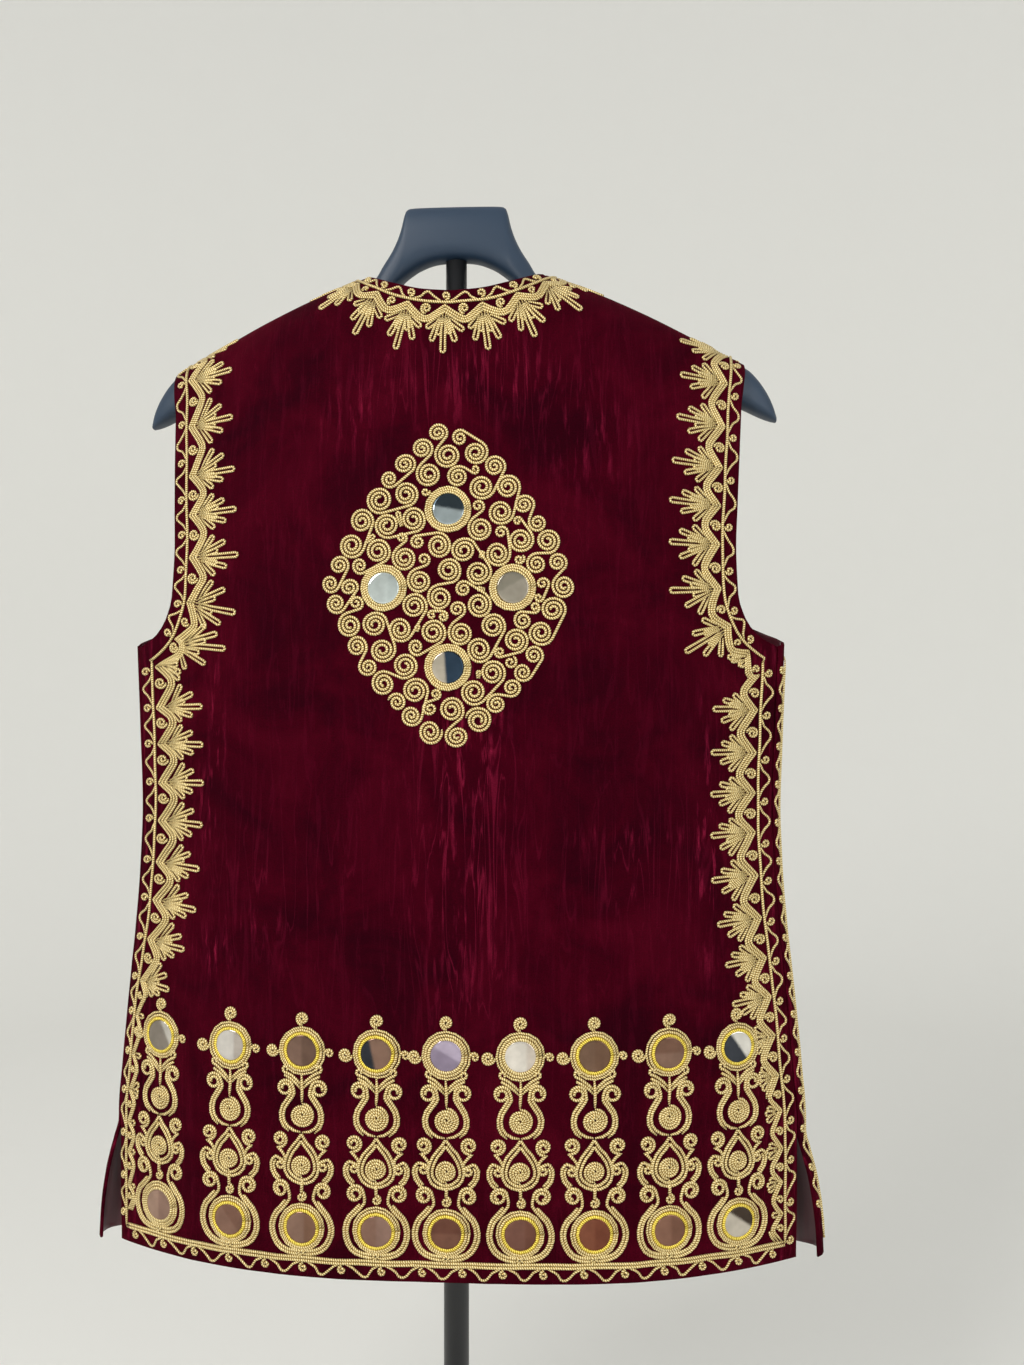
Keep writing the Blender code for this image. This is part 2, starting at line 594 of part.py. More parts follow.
def borders():
    """Bands of embroidery along every edge of the garment."""
    gap, corner, shoulder = 2.0, 44.0, 13.0     # kept free at the underarm, at corners and at the shoulder
    plate("border_neck_back", BACK, [palmette_band(neck_edge(), 1.0, neck_edge().total - 1.0)])
    for side, word in ((LEFT, "left"), (RIGHT, "right")):
        for face, panel_word in ((BACK, "back"), (FRONT, "front")):
            seam = outer_edge(face, side, HEM_Z, UNDERARM_Z, 60)
            if face == BACK:
                outline = palmette_band(seam, BORDER_MARGIN, seam.total - gap, sizes=SIDE_PALMETTES[side])
            else:
                outline = palmette_band(seam, BORDER_MARGIN, seam.total - gap, FOLD_PALMETTE, margin=FOLD_CLEAR)
            plate(f"border_side_{panel_word}_{word}", face, [outline])
            arm = armhole_edge(face, side)
            plate(f"border_armhole_{panel_word}_{word}", face,
                  [palmette_band(arm, corner, arm.total - shoulder,
                                 PALMETTE if face == BACK else PLAIN_PALMETTE, pitch=ARMHOLE_PITCH)])
        opening = front_edge(side)
        plate(f"border_opening_{word}", FRONT,
              [palmette_band(opening, 1.0, opening.total - BORDER_MARGIN, PLAIN_PALMETTE)])
        outer = edge_length(FRONT, side, HEM_Z)[0]
        start = float(smooth(FRONT_EDGE, HEM_Z))
        hem = hem_edge(FRONT, side * (start + corner), side * (outer - corner))
        plate(f"border_hem_front_{word}", FRONT, [plain_band(hem, 0, hem.total)])
    left, right = (edge_length(BACK, side, HEM_Z)[0] for side in (LEFT, RIGHT))
    hem = hem_edge(BACK, -left + corner, right - corner)
    plate("border_hem_back", BACK, [plain_band(hem, 0, hem.total)])


# ---------------------------------------------------------------- hanger and stand
def hanger():
    """One moulded piece: a flared head over an arch, and two arms that curve forward."""
    half = HANGER.copy()
    under = (half[:, 0] > HANGER_ARM_X[0]) & (half[:, 0] < HANGER_ARM_X[1])
    half[under, 1] = smooth(SHOULDER, half[under, 0]) - WALL - HANGER_CLEAR
    half = [tuple(row) for row in half]
    stations = [(-x, top, low, thick) for x, top, low, thick in reversed(half[1:])] + half
    points, faces = [], []
    for x, top, low, thick in stations:
        crown = 0.78 * (top - low)
        foot = (top - low) - crown
        for k in range(HANGER_RING):
            turn = 2 * math.pi * k / HANGER_RING
            rise = math.sin(turn)
            z = low + foot + (crown if rise > 0 else foot) * rise
            points.append((x, float(hanger_line(x)) + thick * math.cos(turn), z))
    count = len(stations)
    for r in range(count - 1):
        for k in range(HANGER_RING):
            a, b = r * HANGER_RING + k, r * HANGER_RING + (k + 1) % HANGER_RING
            faces.append((a, b, b + HANGER_RING, a + HANGER_RING))
    faces.append(tuple(range(HANGER_RING)))
    faces.append(tuple(range((count - 1) * HANGER_RING, count * HANGER_RING)))
    return add_mesh("hanger", points, faces, "black_plastic")


def turned(name, profile, finish, sides=ROUND_SIDES):
    """A turned piece about the Z axis from (radius, height) rows, top to bottom."""
    points, faces = [], []
    for radius, height in profile:
        for k in range(sides):
            turn = 2 * math.pi * k / sides
            points.append((radius * math.cos(turn), radius * math.sin(turn), height))
    for r in range(len(profile) - 1):
        for k in range(sides):
            a, b = r * sides + k, r * sides + (k + 1) % sides
            faces.append((a, b, b + sides, a + sides))
    faces.append(tuple(range(sides)))
    faces.append(tuple(range((len(profile) - 1) * sides, len(profile) * sides)))
    return add_mesh(name, points, faces, finish)


def stand():
    """A weighted round base, its hub, and a pole of two tubes under the hanger."""
    pole_foot = HUB_TOP + SEAM_GAP
    turned("stand_base", [(BASE_R - BASE_EDGE, BASE_THICK), (BASE_R, BASE_THICK - BASE_EDGE),
                          (BASE_R, 0.0)], "black_steel", sides=BASE_SIDES)
    turned("stand_hub", [(HUB_R - ROUNDING, HUB_TOP), (HUB_R, HUB_TOP - ROUNDING),
                         (HUB_R, BASE_THICK + SEAM_GAP)], "black_steel")
    collar_top = POLE_JOIN_Z + COLLAR_H
    turned("pole_lower", [(POLE_LOW_R, POLE_JOIN_Z), (POLE_LOW_R, pole_foot)], "black_steel")
    turned("pole_collar", [
        (COLLAR_R - ROUNDING, collar_top), (COLLAR_R, collar_top - ROUNDING),
        (COLLAR_R, POLE_JOIN_Z + ROUNDING + SEAM_GAP), (COLLAR_R - ROUNDING, POLE_JOIN_Z + SEAM_GAP)],
        "black_plastic")
    pole_top = float(np.interp(POLE_HIGH_R, HANGER[:, 0], HANGER[:, 2])) - SEAM_GAP
    turned("pole_upper", [(POLE_HIGH_R, pole_top), (POLE_HIGH_R, collar_top + SEAM_GAP)], "black_steel")


def main():
    clear_scene()
    stand()
    hanger()
    panel("back", BACK, back_grid())
    panel("front_left", FRONT, front_grid(LEFT))
    panel("front_right", FRONT, front_grid(RIGHT))
    borders()
    for number in range(1, len(COLUMN_PLACES) + 1):
        ornament_column(number)
    medallion()


main()
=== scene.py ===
"""Embroidered velvet vest on a hanger-headed stand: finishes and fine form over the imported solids.

Sizes are in millimetres and turned to metres where meshes are made.  +Z is up, the back of the vest
faces -Y and +X is the wearer's right.  A place on a panel is given flat, as (s, h): s runs round the
body from the panel's centre line, and h is the height, which goes on over the rounded shoulder.
"""

import logging
import math
from dataclasses import dataclass, field
from enum import Enum, IntEnum
from functools import partial
from typing import Callable, Sequence

import bpy
import numpy as np
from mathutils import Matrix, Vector


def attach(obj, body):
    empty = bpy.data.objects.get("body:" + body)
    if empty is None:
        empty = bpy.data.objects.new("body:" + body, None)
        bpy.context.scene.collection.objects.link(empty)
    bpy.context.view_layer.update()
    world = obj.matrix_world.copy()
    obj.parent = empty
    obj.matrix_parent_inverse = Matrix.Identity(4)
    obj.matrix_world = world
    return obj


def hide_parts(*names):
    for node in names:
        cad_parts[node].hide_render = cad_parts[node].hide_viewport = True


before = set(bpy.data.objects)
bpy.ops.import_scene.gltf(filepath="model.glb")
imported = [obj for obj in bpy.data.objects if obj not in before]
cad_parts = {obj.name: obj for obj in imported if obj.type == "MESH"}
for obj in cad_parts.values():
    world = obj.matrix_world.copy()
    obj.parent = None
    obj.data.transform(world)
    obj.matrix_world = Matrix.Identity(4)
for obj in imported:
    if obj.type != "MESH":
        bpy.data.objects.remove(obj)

LOG = logging.getLogger("vest")
MM = 0.001
HALF_PI = math.pi / 2
CORD_WIDTH = 2.0
Array = np.ndarray
Path = np.ndarray                       # flat places along a line, a row each
Rows = Sequence[tuple[float, ...]]
Material = bpy.types.Material
Piece = bpy.types.Object
Tree = bpy.types.NodeTree
Socket = bpy.types.NodeSocket


# ---------- small shared helpers
class Face(IntEnum):
    """Which side of the tube a panel is on."""

    BACK = -1
    FRONT = 1


class Side(IntEnum):
    """Wearer's left is at -X, wearer's right at +X."""

    LEFT = -1
    RIGHT = 1


def table(*rows: tuple[float, ...]) -> Array:
    """Give a dataclass field that holds a table of numbers."""
    return field(default_factory=lambda: np.array(rows, float))


def per(choice: type[IntEnum], *values: object) -> dict:
    """Give a dataclass field that holds a value for each member of a choice, in their order."""
    return field(default_factory=lambda: dict(zip(choice, values)))


def linear(hex_colour: str) -> tuple[float, ...]:
    """Turn six sRGB hex digits into linear red, green and blue and an alpha of one."""
    values = [int(hex_colour[k:k + 2], 16) / 255 for k in (0, 2, 4)]
    return (*(v / 12.92 if v <= 0.04045 else ((v + 0.055) / 1.055) ** 2.4 for v in values), 1.0)


def smooth(rows: Array, x: Array | float, column: int = 1) -> Array:
    """Read a table's column at x, on a smooth curve through its rows that never overshoots them.

    Args:
        rows: Rows of x and values, x rising.
        x: Where to read.
        column: Which column.

    Returns:
        The values at x.
    """
    xs, ys = rows[:, 0], rows[:, column]
    x = np.clip(np.asarray(x, float), xs[0], xs[-1])
    i = np.clip(np.searchsorted(xs, x, side="right") - 1, 0, len(xs) - 2)
    rise = np.diff(ys) / np.diff(xs)
    before, after = rise[:-1], rise[1:]
    turns = before * after <= 0
    inner = np.where(turns, 0, 2 * before * after / np.where(turns, 1, before + after))
    slope = np.concatenate([rise[:1], inner, rise[-1:]])
    step = xs[i + 1] - xs[i]
    t = (x - xs[i]) / step
    return ((2 * t**3 - 3 * t**2 + 1) * ys[i] + (t**3 - 2 * t**2 + t) * step * slope[i]
            + (3 * t**2 - 2 * t**3) * ys[i + 1] + (t**3 - t**2) * step * slope[i + 1])


def new_object(name: str, points: Array, faces: Rows, *finishes: Material) -> Piece:
    """Make a smooth-shaded mesh object.

    Args:
        name: Name of the object and its mesh.
        points: Points in millimetres.
        faces: Corner indices of each face.
        finishes: Materials for the slots.

    Returns:
        The object, linked to the scene.
    """
    mesh = bpy.data.meshes.new(name)
    mesh.from_pydata((np.asarray(points) * MM).tolist(), [], faces)
    mesh.polygons.foreach_set("use_smooth", np.ones(len(mesh.polygons), bool))
    made = bpy.data.objects.new(name, mesh)
    bpy.context.scene.collection.objects.link(made)
    for finish in finishes:
        mesh.materials.append(finish)
    return made


def stacked(rings: int, count: int, first: int = 0) -> list[tuple[int, ...]]:
    """Give the faces of a stack of closed rings of points, with a cap at each end.

    Args:
        rings: How many rings.
        count: Points in each ring.
        first: Index of the first point.

    Returns:
        The quads, the last ring's cap and the first ring's, facing out where the stack goes up.
    """
    starts = [first + r * count for r in range(rings)]
    quads = [(a + k, a + (k + 1) % count, b + (k + 1) % count, b + k)
             for a, b in zip(starts, starts[1:]) for k in range(count)]
    cap = range(count)
    return quads + [tuple(starts[-1] + k for k in cap), tuple(first + k for k in cap[::-1])]


def seat(piece: Piece, slot: str, *nodes: str) -> Piece:
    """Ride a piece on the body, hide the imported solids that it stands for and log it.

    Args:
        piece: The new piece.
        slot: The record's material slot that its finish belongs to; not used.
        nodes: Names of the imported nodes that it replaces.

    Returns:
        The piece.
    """
    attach(piece, "root")
    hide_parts(*nodes)
    LOG.info("%s: %d faces", piece.name, len(piece.data.polygons))
    return piece


# ---------- finishes
def wire(node: bpy.types.Node, inputs: dict) -> None:
    """Set a node's inputs, by name or number: a socket is linked, anything else is a value.

    Args:
        node: The node.
        inputs: What goes into it.
    """
    for key, given in inputs.items():
        if isinstance(given, Socket):
            node.id_data.links.new(given, node.inputs[key])
        else:
            node.inputs[key].default_value = given


def add_node(tree: Tree, kind: str, out: str | int, inputs: dict | None = None,
             **settings: object) -> Socket:
    """Add a shader node with its inputs and settings.

    Args:
        tree: The node tree.
        kind: The node's type, without the word ShaderNode.
        out: Name or number of the output that is wanted.
        inputs: Values and sockets for its inputs.
        settings: Attributes of the node.

    Returns:
        The output socket.
    """
    node = tree.nodes.new("ShaderNode" + kind)
    for key, value in settings.items():
        setattr(node, key, value)
    wire(node, inputs or {})
    return node.outputs[out]


def set_ramp(colour: Socket, *stops: tuple[float, str]) -> Socket:
    """Give a colour ramp its stops.

    Args:
        colour: A ColorRamp node's output.
        stops: Positions and sRGB hex colours, two or more.

    Returns:
        The same output.
    """
    elements = colour.node.color_ramp.elements
    while len(elements) < len(stops):
        elements.new(0.5)
    for element, (place, shade) in zip(elements, stops):
        element.position, element.color = place, linear(shade)
    return colour


def blank(name: str) -> tuple[Material, Callable[..., Socket], bpy.types.Node]:
    """Make a material with only a Principled shader and its output.

    Args:
        name: Name of the real material.

    Returns:
        The material, add_node for its tree and its shader node.
    """
    made = bpy.data.materials.new(name)
    made.use_nodes = True
    return made, partial(add_node, made.node_tree), made.node_tree.nodes["Principled BSDF"]


@dataclass(frozen=True)
class CottonBackedVelvet:
    """Woven cut-pile velvet, piece dyed, its pile crushed by hanging and folding.

    The short pile gives a deep, almost black red face on and a soft pink bloom where the cloth turns away;
    its broken bright streaks where the pile lies flat, lighter outer sides and light crease lines are painted
    sheen.
    """

    shade: str = "27000a"
    body: str = "35000d"
    warm: str = "410212"
    # Painted sheen: the lighter colour of the crushed-pile streaks and of the fine crease lines.
    crushed: str = "8e1c3c"
    bloom: str = "a00c2c"
    patch_mm: float = 70.0
    streak_mm: tuple[float, float] = (2.2, 17.0)
    wrinkles_per_m: tuple[float, float, float] = (115.0, 10.0, 1.0)
    wrinkle_width: float = 0.035
    tuft_mm: float = 1.1     # real tufts are 0.4 mm apart: drawn coarser so that they show

    def make(self) -> Material:
        """Build the material.

        Returns:
            The velvet.
        """
        made, add, shader = blank("cotton_backed_velvet")
        places = add("UVMap", "UV", uv_map="flat")
        soft = add("TexNoise", "Fac", {
            "Vector": places, "Scale": 1000 / self.patch_mm, "Detail": 4.0, "Roughness": 0.62,
            "Distortion": 0.4}, noise_dimensions="2D")
        cloth = set_ramp(add("ValToRGB", "Color", {"Fac": soft}),
                         (0.3, self.shade), (0.52, self.body), (0.74, self.warm))
        stretch = add("Mapping", "Vector", {
            "Vector": places, "Scale": (1000 / self.streak_mm[0], 1000 / self.streak_mm[1], 1.0)})
        streak = add("TexNoise", "Fac", {
            "Vector": stretch, "Scale": 0.42, "Detail": 3.0, "Roughness": 0.7}, noise_dimensions="2D")
        broken = add("MapRange", "Result", {
            "Value": streak, "From Min": 0.54, "From Max": 0.76, "To Min": 0.0, "To Max": 1.0})
        # Broken lighter streaks where the mask is high: crushed pile, painted as sheen in the colour.
        crush = add("Attribute", "Fac", attribute_name="crush")
        amount = add("Math", "Value", {0: broken, 1: crush}, operation="MULTIPLY", use_clamp=True)
        nap = add("Mix", 2, {0: amount, 6: cloth, 7: linear(self.crushed)}, data_type="RGBA")
        crease = add("Attribute", "Fac", attribute_name="wrinkled")
        long = add("Mapping", "Vector", {"Vector": places, "Scale": self.wrinkles_per_m})
        fine = add("TexNoise", "Fac", {
            "Vector": long, "Scale": 1.0, "Detail": 2.5, "Roughness": 0.5, "Distortion": 0.6},
            noise_dimensions="2D")
        middle = add("Math", "Value", {0: fine, 1: 0.5}, operation="SUBTRACT")
        away = add("Math", "Value", {0: middle}, operation="ABSOLUTE")
        line = add("MapRange", "Result", {
            "Value": away, "From Min": 0.0, "From Max": self.wrinkle_width, "To Min": 1.0, "To Max": 0.0},
            interpolation_type="SMOOTHSTEP")
        drawn = add("Math", "Value", {0: line, 1: crease}, operation="MULTIPLY")
        # The same crease lines are also painted lighter: a painted highlight along each crease.
        part = add("Math", "Value", {0: drawn, 1: 0.4}, operation="MULTIPLY")
        lined = add("Mix", 2, {0: part, 6: nap, 7: linear(self.crushed)}, data_type="RGBA")
        tuft = add("TexNoise", "Fac", {
            "Vector": places, "Scale": 1000 / self.tuft_mm, "Detail": 2.0, "Roughness": 0.8},
            noise_dimensions="2D")
        lift = add("MapRange", "Result", {
            "Value": tuft, "From Min": 0.3, "From Max": 0.7, "To Min": 0.78, "To Max": 1.22})
        shaded = add("Mix", 2, {0: 1.0, 6: lined, 7: lift}, data_type="RGBA", blend_type="MULTIPLY")
        relief = add("Bump", "Normal", {"Height": drawn, "Strength": 0.7, "Distance": 0.0012})
        pile = add("Bump", "Normal", {
            "Height": tuft, "Normal": relief, "Strength": 0.35, "Distance": 0.0004})
        wire(shader, {"Base Color": shaded, "Normal": pile, "Roughness": 0.8, "Specular IOR Level": 0.02,
                      "Sheen Weight": 0.12, "Sheen Roughness": 0.38, "Sheen Tint": linear(self.bloom)})
        return made


@dataclass(frozen=True)
class AcetateSatin:
    """Wrong side of the cloth: plain satin-faced backing, its soft vertical gloss painted as lighter streaks
    in the colour.
    """

    body: str = "33030c"
    # Painted sheen: the lighter colour of the satin's vertical gloss streaks.
    painted_gloss: str = "571022"

    def make(self) -> Material:
        """Build the material.

        Returns:
            The satin.
        """
        made, add, shader = blank("acetate_satin")
        places = add("UVMap", "UV", uv_map="flat")
        run = add("Mapping", "Vector", {"Vector": places, "Scale": (90.0, 12.0, 1.0)})
        wave = add("TexNoise", "Fac", {"Vector": run, "Scale": 1.0, "Detail": 2.0}, noise_dimensions="2D")
        tone = set_ramp(add("ValToRGB", "Color", {"Fac": wave}), (0.35, self.body), (0.75, self.painted_gloss))
        bend = add("Bump", "Normal", {"Height": wave, "Strength": 0.5, "Distance": 0.001})
        wire(shader, {"Base Color": tone, "Normal": bend, "Roughness": 0.38, "Sheen Weight": 0.2})
        return made


@dataclass(frozen=True)
class ZariCord:
    """Gilt metal thread spun round a cotton core and plied two by two into a couching cord.

    The plies' small slanting beads are painted bright, with brown painted shade in the grooves
    between them, and fine noise adds painted glints.
    """

    name: str = "zari_cord"
    # Painted shade: the brown of the grooves between the plies.
    painted_groove_shade: str = "7d6028"
    body: str = "c2a35c"
    # Painted highlight: the pale colour where the plies' beads catch the light.
    light: str = "f7e8b4"
    ply_mm: float = 1.25     # the real lay is 1.1 mm: drawn coarser so that it shows
    painted_glint_mm: float = 1.3

    def make(self) -> Material:
        """Build the material.

        Returns:
            The cord's material.
        """
        made, add, shader = blank(self.name)
        lay = add("UVMap", "UV", uv_map="lay")
        turned = add("Mapping", "Vector", {"Vector": lay, "Scale": (1000 / self.ply_mm, 1.0, 1.0)})
        plies = add("TexWave", "Fac", {
            "Vector": turned, "Scale": 0.5, "Distortion": 0.6, "Detail": 1.0, "Detail Scale": 2.0},
            wave_type="BANDS", bands_direction="DIAGONAL", wave_profile="SIN")
        # Painted glints: fine noise that brightens the colour in small spots, added to the plies' painted
        # highlights and shade.
        where = add("TexCoord", "Object")
        painted_glint = add("TexNoise", "Fac", {
            "Vector": where, "Scale": 1000 / self.painted_glint_mm, "Detail": 2.0, "Roughness": 0.7})
        share = add("Math", "Value", {0: plies, 1: 0.55}, operation="MULTIPLY")
        both = add("Math", "Value", {0: painted_glint, 1: 0.45, 2: share}, operation="MULTIPLY_ADD")
        tone = set_ramp(add("ValToRGB", "Color", {"Fac": both}),
                        (0.18, self.painted_groove_shade), (0.42, self.body), (0.74, self.light))
        relief = add("Bump", "Normal", {"Height": plies, "Strength": 0.6, "Distance": 0.0004})
        wire(shader, {"Base Color": tone, "Normal": relief, "Metallic": 0.62, "Roughness": 0.38})
        return made


@dataclass(frozen=True)
class SilveredGlass:
    """Thin hand-cut mirror glass, silvered behind: each disc's colour is a painted reflection in two colours,
    mottled by faint foxing.
    """

    def make(self) -> Material:
        """Build the material.

        Returns:
            The mirror glass.
        """
        made, add, shader = blank("silvered_glass")
        # Painted reflection: the two-colour picture of its surroundings that each disc is given.
        tone = add("Attribute", "Color", attribute_name="tone")
        where = add("TexCoord", "Object")
        foxing = add("TexNoise", "Fac", {"Vector": where, "Scale": 130.0, "Detail": 4.0})
        depth = add("MapRange", "Result", {
            "Value": foxing, "From Min": 0.35, "From Max": 0.7, "To Min": 0.86, "To Max": 1.05})
        painted_reflection_and_foxing = add("Mix", 2, {0: 1.0, 6: tone, 7: depth}, data_type="RGBA", blend_type="MULTIPLY")
        wire(shader, {"Base Color": painted_reflection_and_foxing, "Metallic": 1.0, "Roughness": 0.05})
        return made


@dataclass(frozen=True)
class GrainedPolypropylene:
    """Injection-moulded black plastic with a fine spark-eroded grain, its soft grey-blue gloss painted into a
    dark blue base colour.
    """

    # The black plastic's colour with its grey-blue gloss painted in: partly painted sheen.
    body: str = "1d3146"
    grain_mm: float = 0.9

    def make(self) -> Material:
        """Build the material.

        Returns:
            The plastic.
        """
        made, add, shader = blank("grained_polypropylene")
        where = add("TexCoord", "Object")
        grain = add("TexNoise", "Fac", {"Vector": where, "Scale": 1000 / self.grain_mm, "Detail": 2.0})
        cloud = add("TexNoise", "Fac", {"Vector": where, "Scale": 22.0, "Detail": 3.0})
        wear = add("MapRange", "Result", {"Value": cloud, "To Min": 0.42, "To Max": 0.56})
        relief = add("Bump", "Normal", {"Height": grain, "Strength": 0.16, "Distance": 0.0003})
        wire(shader, {"Base Color": linear(self.body), "Roughness": wear, "Normal": relief, "IOR": 1.49})
        return made


@dataclass(frozen=True)
class RippledCoat:
    """An even coat with a faint ripple: its look is its colour, its gloss and how fine the ripple is."""

    name: str
    body: str
    ripple_mm: float
    relief: tuple[float, float]
    shader: tuple[tuple[str, float], ...]
    detail: float = 1.0

    def make(self) -> Material:
        """Build the material.

        Returns:
            The coat.
        """
        made, add, shader = blank(self.name)
        where = add("TexCoord", "Object")
        ripple = add("TexNoise", "Fac", {
            "Vector": where, "Scale": 1000 / self.ripple_mm, "Detail": self.detail})
        strength, distance = self.relief
        bump = add("Bump", "Normal", {"Height": ripple, "Strength": strength, "Distance": distance})
        wire(shader, {"Base Color": linear(self.body), "Normal": bump, **dict(self.shader)})
        return made


# Steel tube and plate under a baked powder coat: black with a faint orange-peel ripple.
POWDER_COATED_STEEL = RippledCoat("powder_coated_steel", "101113", 2.0, (0.1, 0.0004), (("Roughness", 0.42),))
# Matt emulsion on the studio's seamless floor and surround: a roller's nap, with no gloss.
MATT_EMULSION = RippledCoat("matt_emulsion", "eaeae7", 1000 / 90, (0.08, 0.002),
                            (("Roughness", 0.9), ("Specular IOR Level", 0.15)), detail=2.0)


# ---------- shape of the cloth
@dataclass
class Crease:
    """One soft ridge or trough: from one flat place to another, bowed, fading at both ends."""

    start_s: float
    start_h: float
    end_s: float
    end_h: float
    rise: float
    width: float
    bow: float

    def height(self, s: Array, h: Array) -> Array:
        """Give the crease's height over the plain cloth.

        Args:
            s: Flat places round the body.
            h: Flat heights.

        Returns:
            Outward shift in millimetres.
        """
        run = np.array([self.end_s - self.start_s, self.end_h - self.start_h], float)
        length = math.hypot(*run)
        run /= length
        s, h = s - self.start_s, h - self.start_h
        t = (s * run[0] + h * run[1]) / length
        arch = 4 * np.clip(t, 0, 1) * (1 - np.clip(t, 0, 1))
        off = -s * run[1] + h * run[0] - self.bow * arch
        fade = np.where((t > 0) & (t < 1), arch**0.7, 0)
        return self.rise * fade * np.exp(-(off / self.width) ** 2)


@dataclass
class ClothForm:
    """The vest's form: a flattened tube hung from a hanger, as a map from flat places to space.

    The tables' columns are: body, height, half width and depths of back and front; flare, height and how
    much wider the fronts are; shoulder, distance out and height; armhole, height, inset, share of the
    front's fold and the front's further inset; neckline, distance out and height; front_line, height
    and distance out.
    """

    seam_gap: float = 0.3
    side_round: float = 12.0
    tube_power: float = 2.8
    samples: tuple[int, int] = (60, 25)     # of a half section's flat part and of its rounded side
    hem_z: float = 300.0
    underarm_z: float = 722.0
    top_band_z: float = 890.0
    shoulder_round: float = 34.0
    neck_x: float = 64.5
    blend: tuple[float, float, float] = (722.0, 985.0, 96.0)    # from, to, and how much lower at the tip
    hanger_sweep: float = 28.0
    sweep_x: float = 225.0
    shoulder_tip_x: float = 205.0
    armhole_top: float = 925.0
    round_turn: float = -85.0       # how far the section goes on round its side, in degrees
    upper: dict[Face, tuple[float, float]] = per(Face, (34.0, 20.0), (30.0, 20.0))
    seam_angle: dict[Side, float] = per(Side, math.radians(-45), math.radians(-60))
    body: Array = table(
        (300, 243, 58, 54), (345, 243.5, 58, 54), (390, 243.5, 58, 54), (430, 240.5, 58, 54),
        (485, 235.5, 58, 53), (530, 231, 58, 52), (570, 228, 58, 52), (610, 226.5, 58, 52),
        (660, 228, 58, 52), (722, 230.5, 58, 52), (780, 232, 58, 52), (1010, 233, 58, 52))
    flare: Array = table((300, 15), (320, 13.5), (350, 9), (375, 2.5), (384, 0), (1010, 0))
    shoulder: Array = table((0, 1006), (62, 984.5), (98, 972), (136, 957), (171, 941.5), (200, 928.5),
                            (215, 921.5), (240, 909.5))
    armhole: Array = table(
        (722, 0, 0, 0), (725.5, 9, 0.18, 0.4), (731, 18.5, 0.46, 1), (741, 27, 0.86, 3), (757, 32.5, 1, 7),
        (785, 33.5, 1, 9), (820, 31, 1, 9), (860, 27, 1, 7), (905, 22, 1, 5.5), (925, 20.5, 1, 5.5),
        (1010, 20.5, 1, 5.5))
    neckline: Array = table((0, 963.5), (20, 965.3), (38, 970.5), (51, 978), (60, 989), (64.5, 1003))
    front_line: Array = table((300, 11), (700, 6), (790, 5.5), (815, 10), (850, 22), (890, 36),
                              (930, 49.5), (965, 59), (1003, 64.5), (1060, 64.5))
    creases: dict[Face, list[Crease]] = field(default_factory=dict)
    cell: float = 3.0
    lattices: dict[Face, tuple[Array, Array]] = field(default_factory=dict)

    def hanger_line(self, x: Array) -> Array:
        """Give how far forward the middle of the hanger lies at x."""
        return self.hanger_sweep * (np.asarray(x) / self.sweep_x) ** 2

    def _halves(self, face: Face, z: Array) -> tuple[Array, Array]:
        """Give the tube's half width and its depth on a face at heights z, less its rounded side."""
        half = smooth(self.body, z) + (smooth(self.flare, z) if face == Face.FRONT else 0)
        return half - self.side_round, smooth(self.body, z, 2 if face == Face.BACK else 3) - self.side_round

    def sections(self, face: Face, z: Array) -> tuple[Array, Array, Array]:
        """Work out half sections of the tube.

        Args:
            face: Back or front.
            z: Heights, a row each.

        Returns:
            x, y and length from the centre line, with a row for each height.
        """
        z = np.atleast_1d(z).astype(float)[:, None]
        a, b = self._halves(face, z)
        p, r = self.tube_power, self.side_round
        t = np.linspace(0, 1, self.samples[0])[None, :]
        lean = np.arctan2(1.0, p * b * t ** (p - 1) / a)
        share = np.linspace(0, 1, self.samples[1] + 1)[None, 1:]
        turn = lean[:, -1:] + (math.radians(self.round_turn) - lean[:, -1:]) * share
        x = np.hstack([a * t + r * np.cos(lean), a + r * np.cos(turn)])
        y = np.hstack([face * (b * (1 - t**p) + r * np.sin(lean)), face * r * np.sin(turn)])
        low, high, drop = self.blend
        out = x / self.shoulder_tip_x
        mix = np.clip((z - low) / (high - drop * out**2 - low), 0, 1) ** 1.5
        middle, end = self.upper[face]
        reach = middle + (end - middle) * np.clip(out, 0, 1.1) ** 2
        y = (1 - mix) * y + mix * (self.hanger_line(x) + face * reach)
        steps = np.hypot(np.diff(x), np.diff(y))
        return x, y, np.hstack([np.zeros_like(z), np.cumsum(steps, axis=1)])

    @staticmethod
    def at_length(length: Array, s: Array, *columns: Array) -> list[Array]:
        """Read columns at the distance s along each row of a section table.

        Args:
            length: The table's distances.
            s: The distances to read at, one for each row.
            columns: What to read.

        Returns:
            A value for each row, from each column.
        """
        i = np.clip((length <= s[:, None]).sum(axis=1) - 1, 0, length.shape[1] - 2)
        row = np.arange(len(s))
        t = (s - length[row, i]) / (length[row, i + 1] - length[row, i])
        return [c[row, i] + t * (c[row, i + 1] - c[row, i]) for c in columns]

    def seam_length(self, face: Face, side: Side, z: Array) -> Array:
        """Give the distance round the body from the centre line to the side seam.

        Args:
            face: Back or front.
            side: Which seam.
            z: Heights.

        Returns:
            A distance for each height.
        """
        z = np.atleast_1d(z).astype(float)
        a, b = self._halves(face, z)
        tip = np.arctan2(1.0, self.tube_power * b / a)
        turned = self.side_round * (tip - face * self.seam_angle[side])
        return self.sections(face, z)[2][:, self.samples[0] - 1] + turned - self.seam_gap / 2

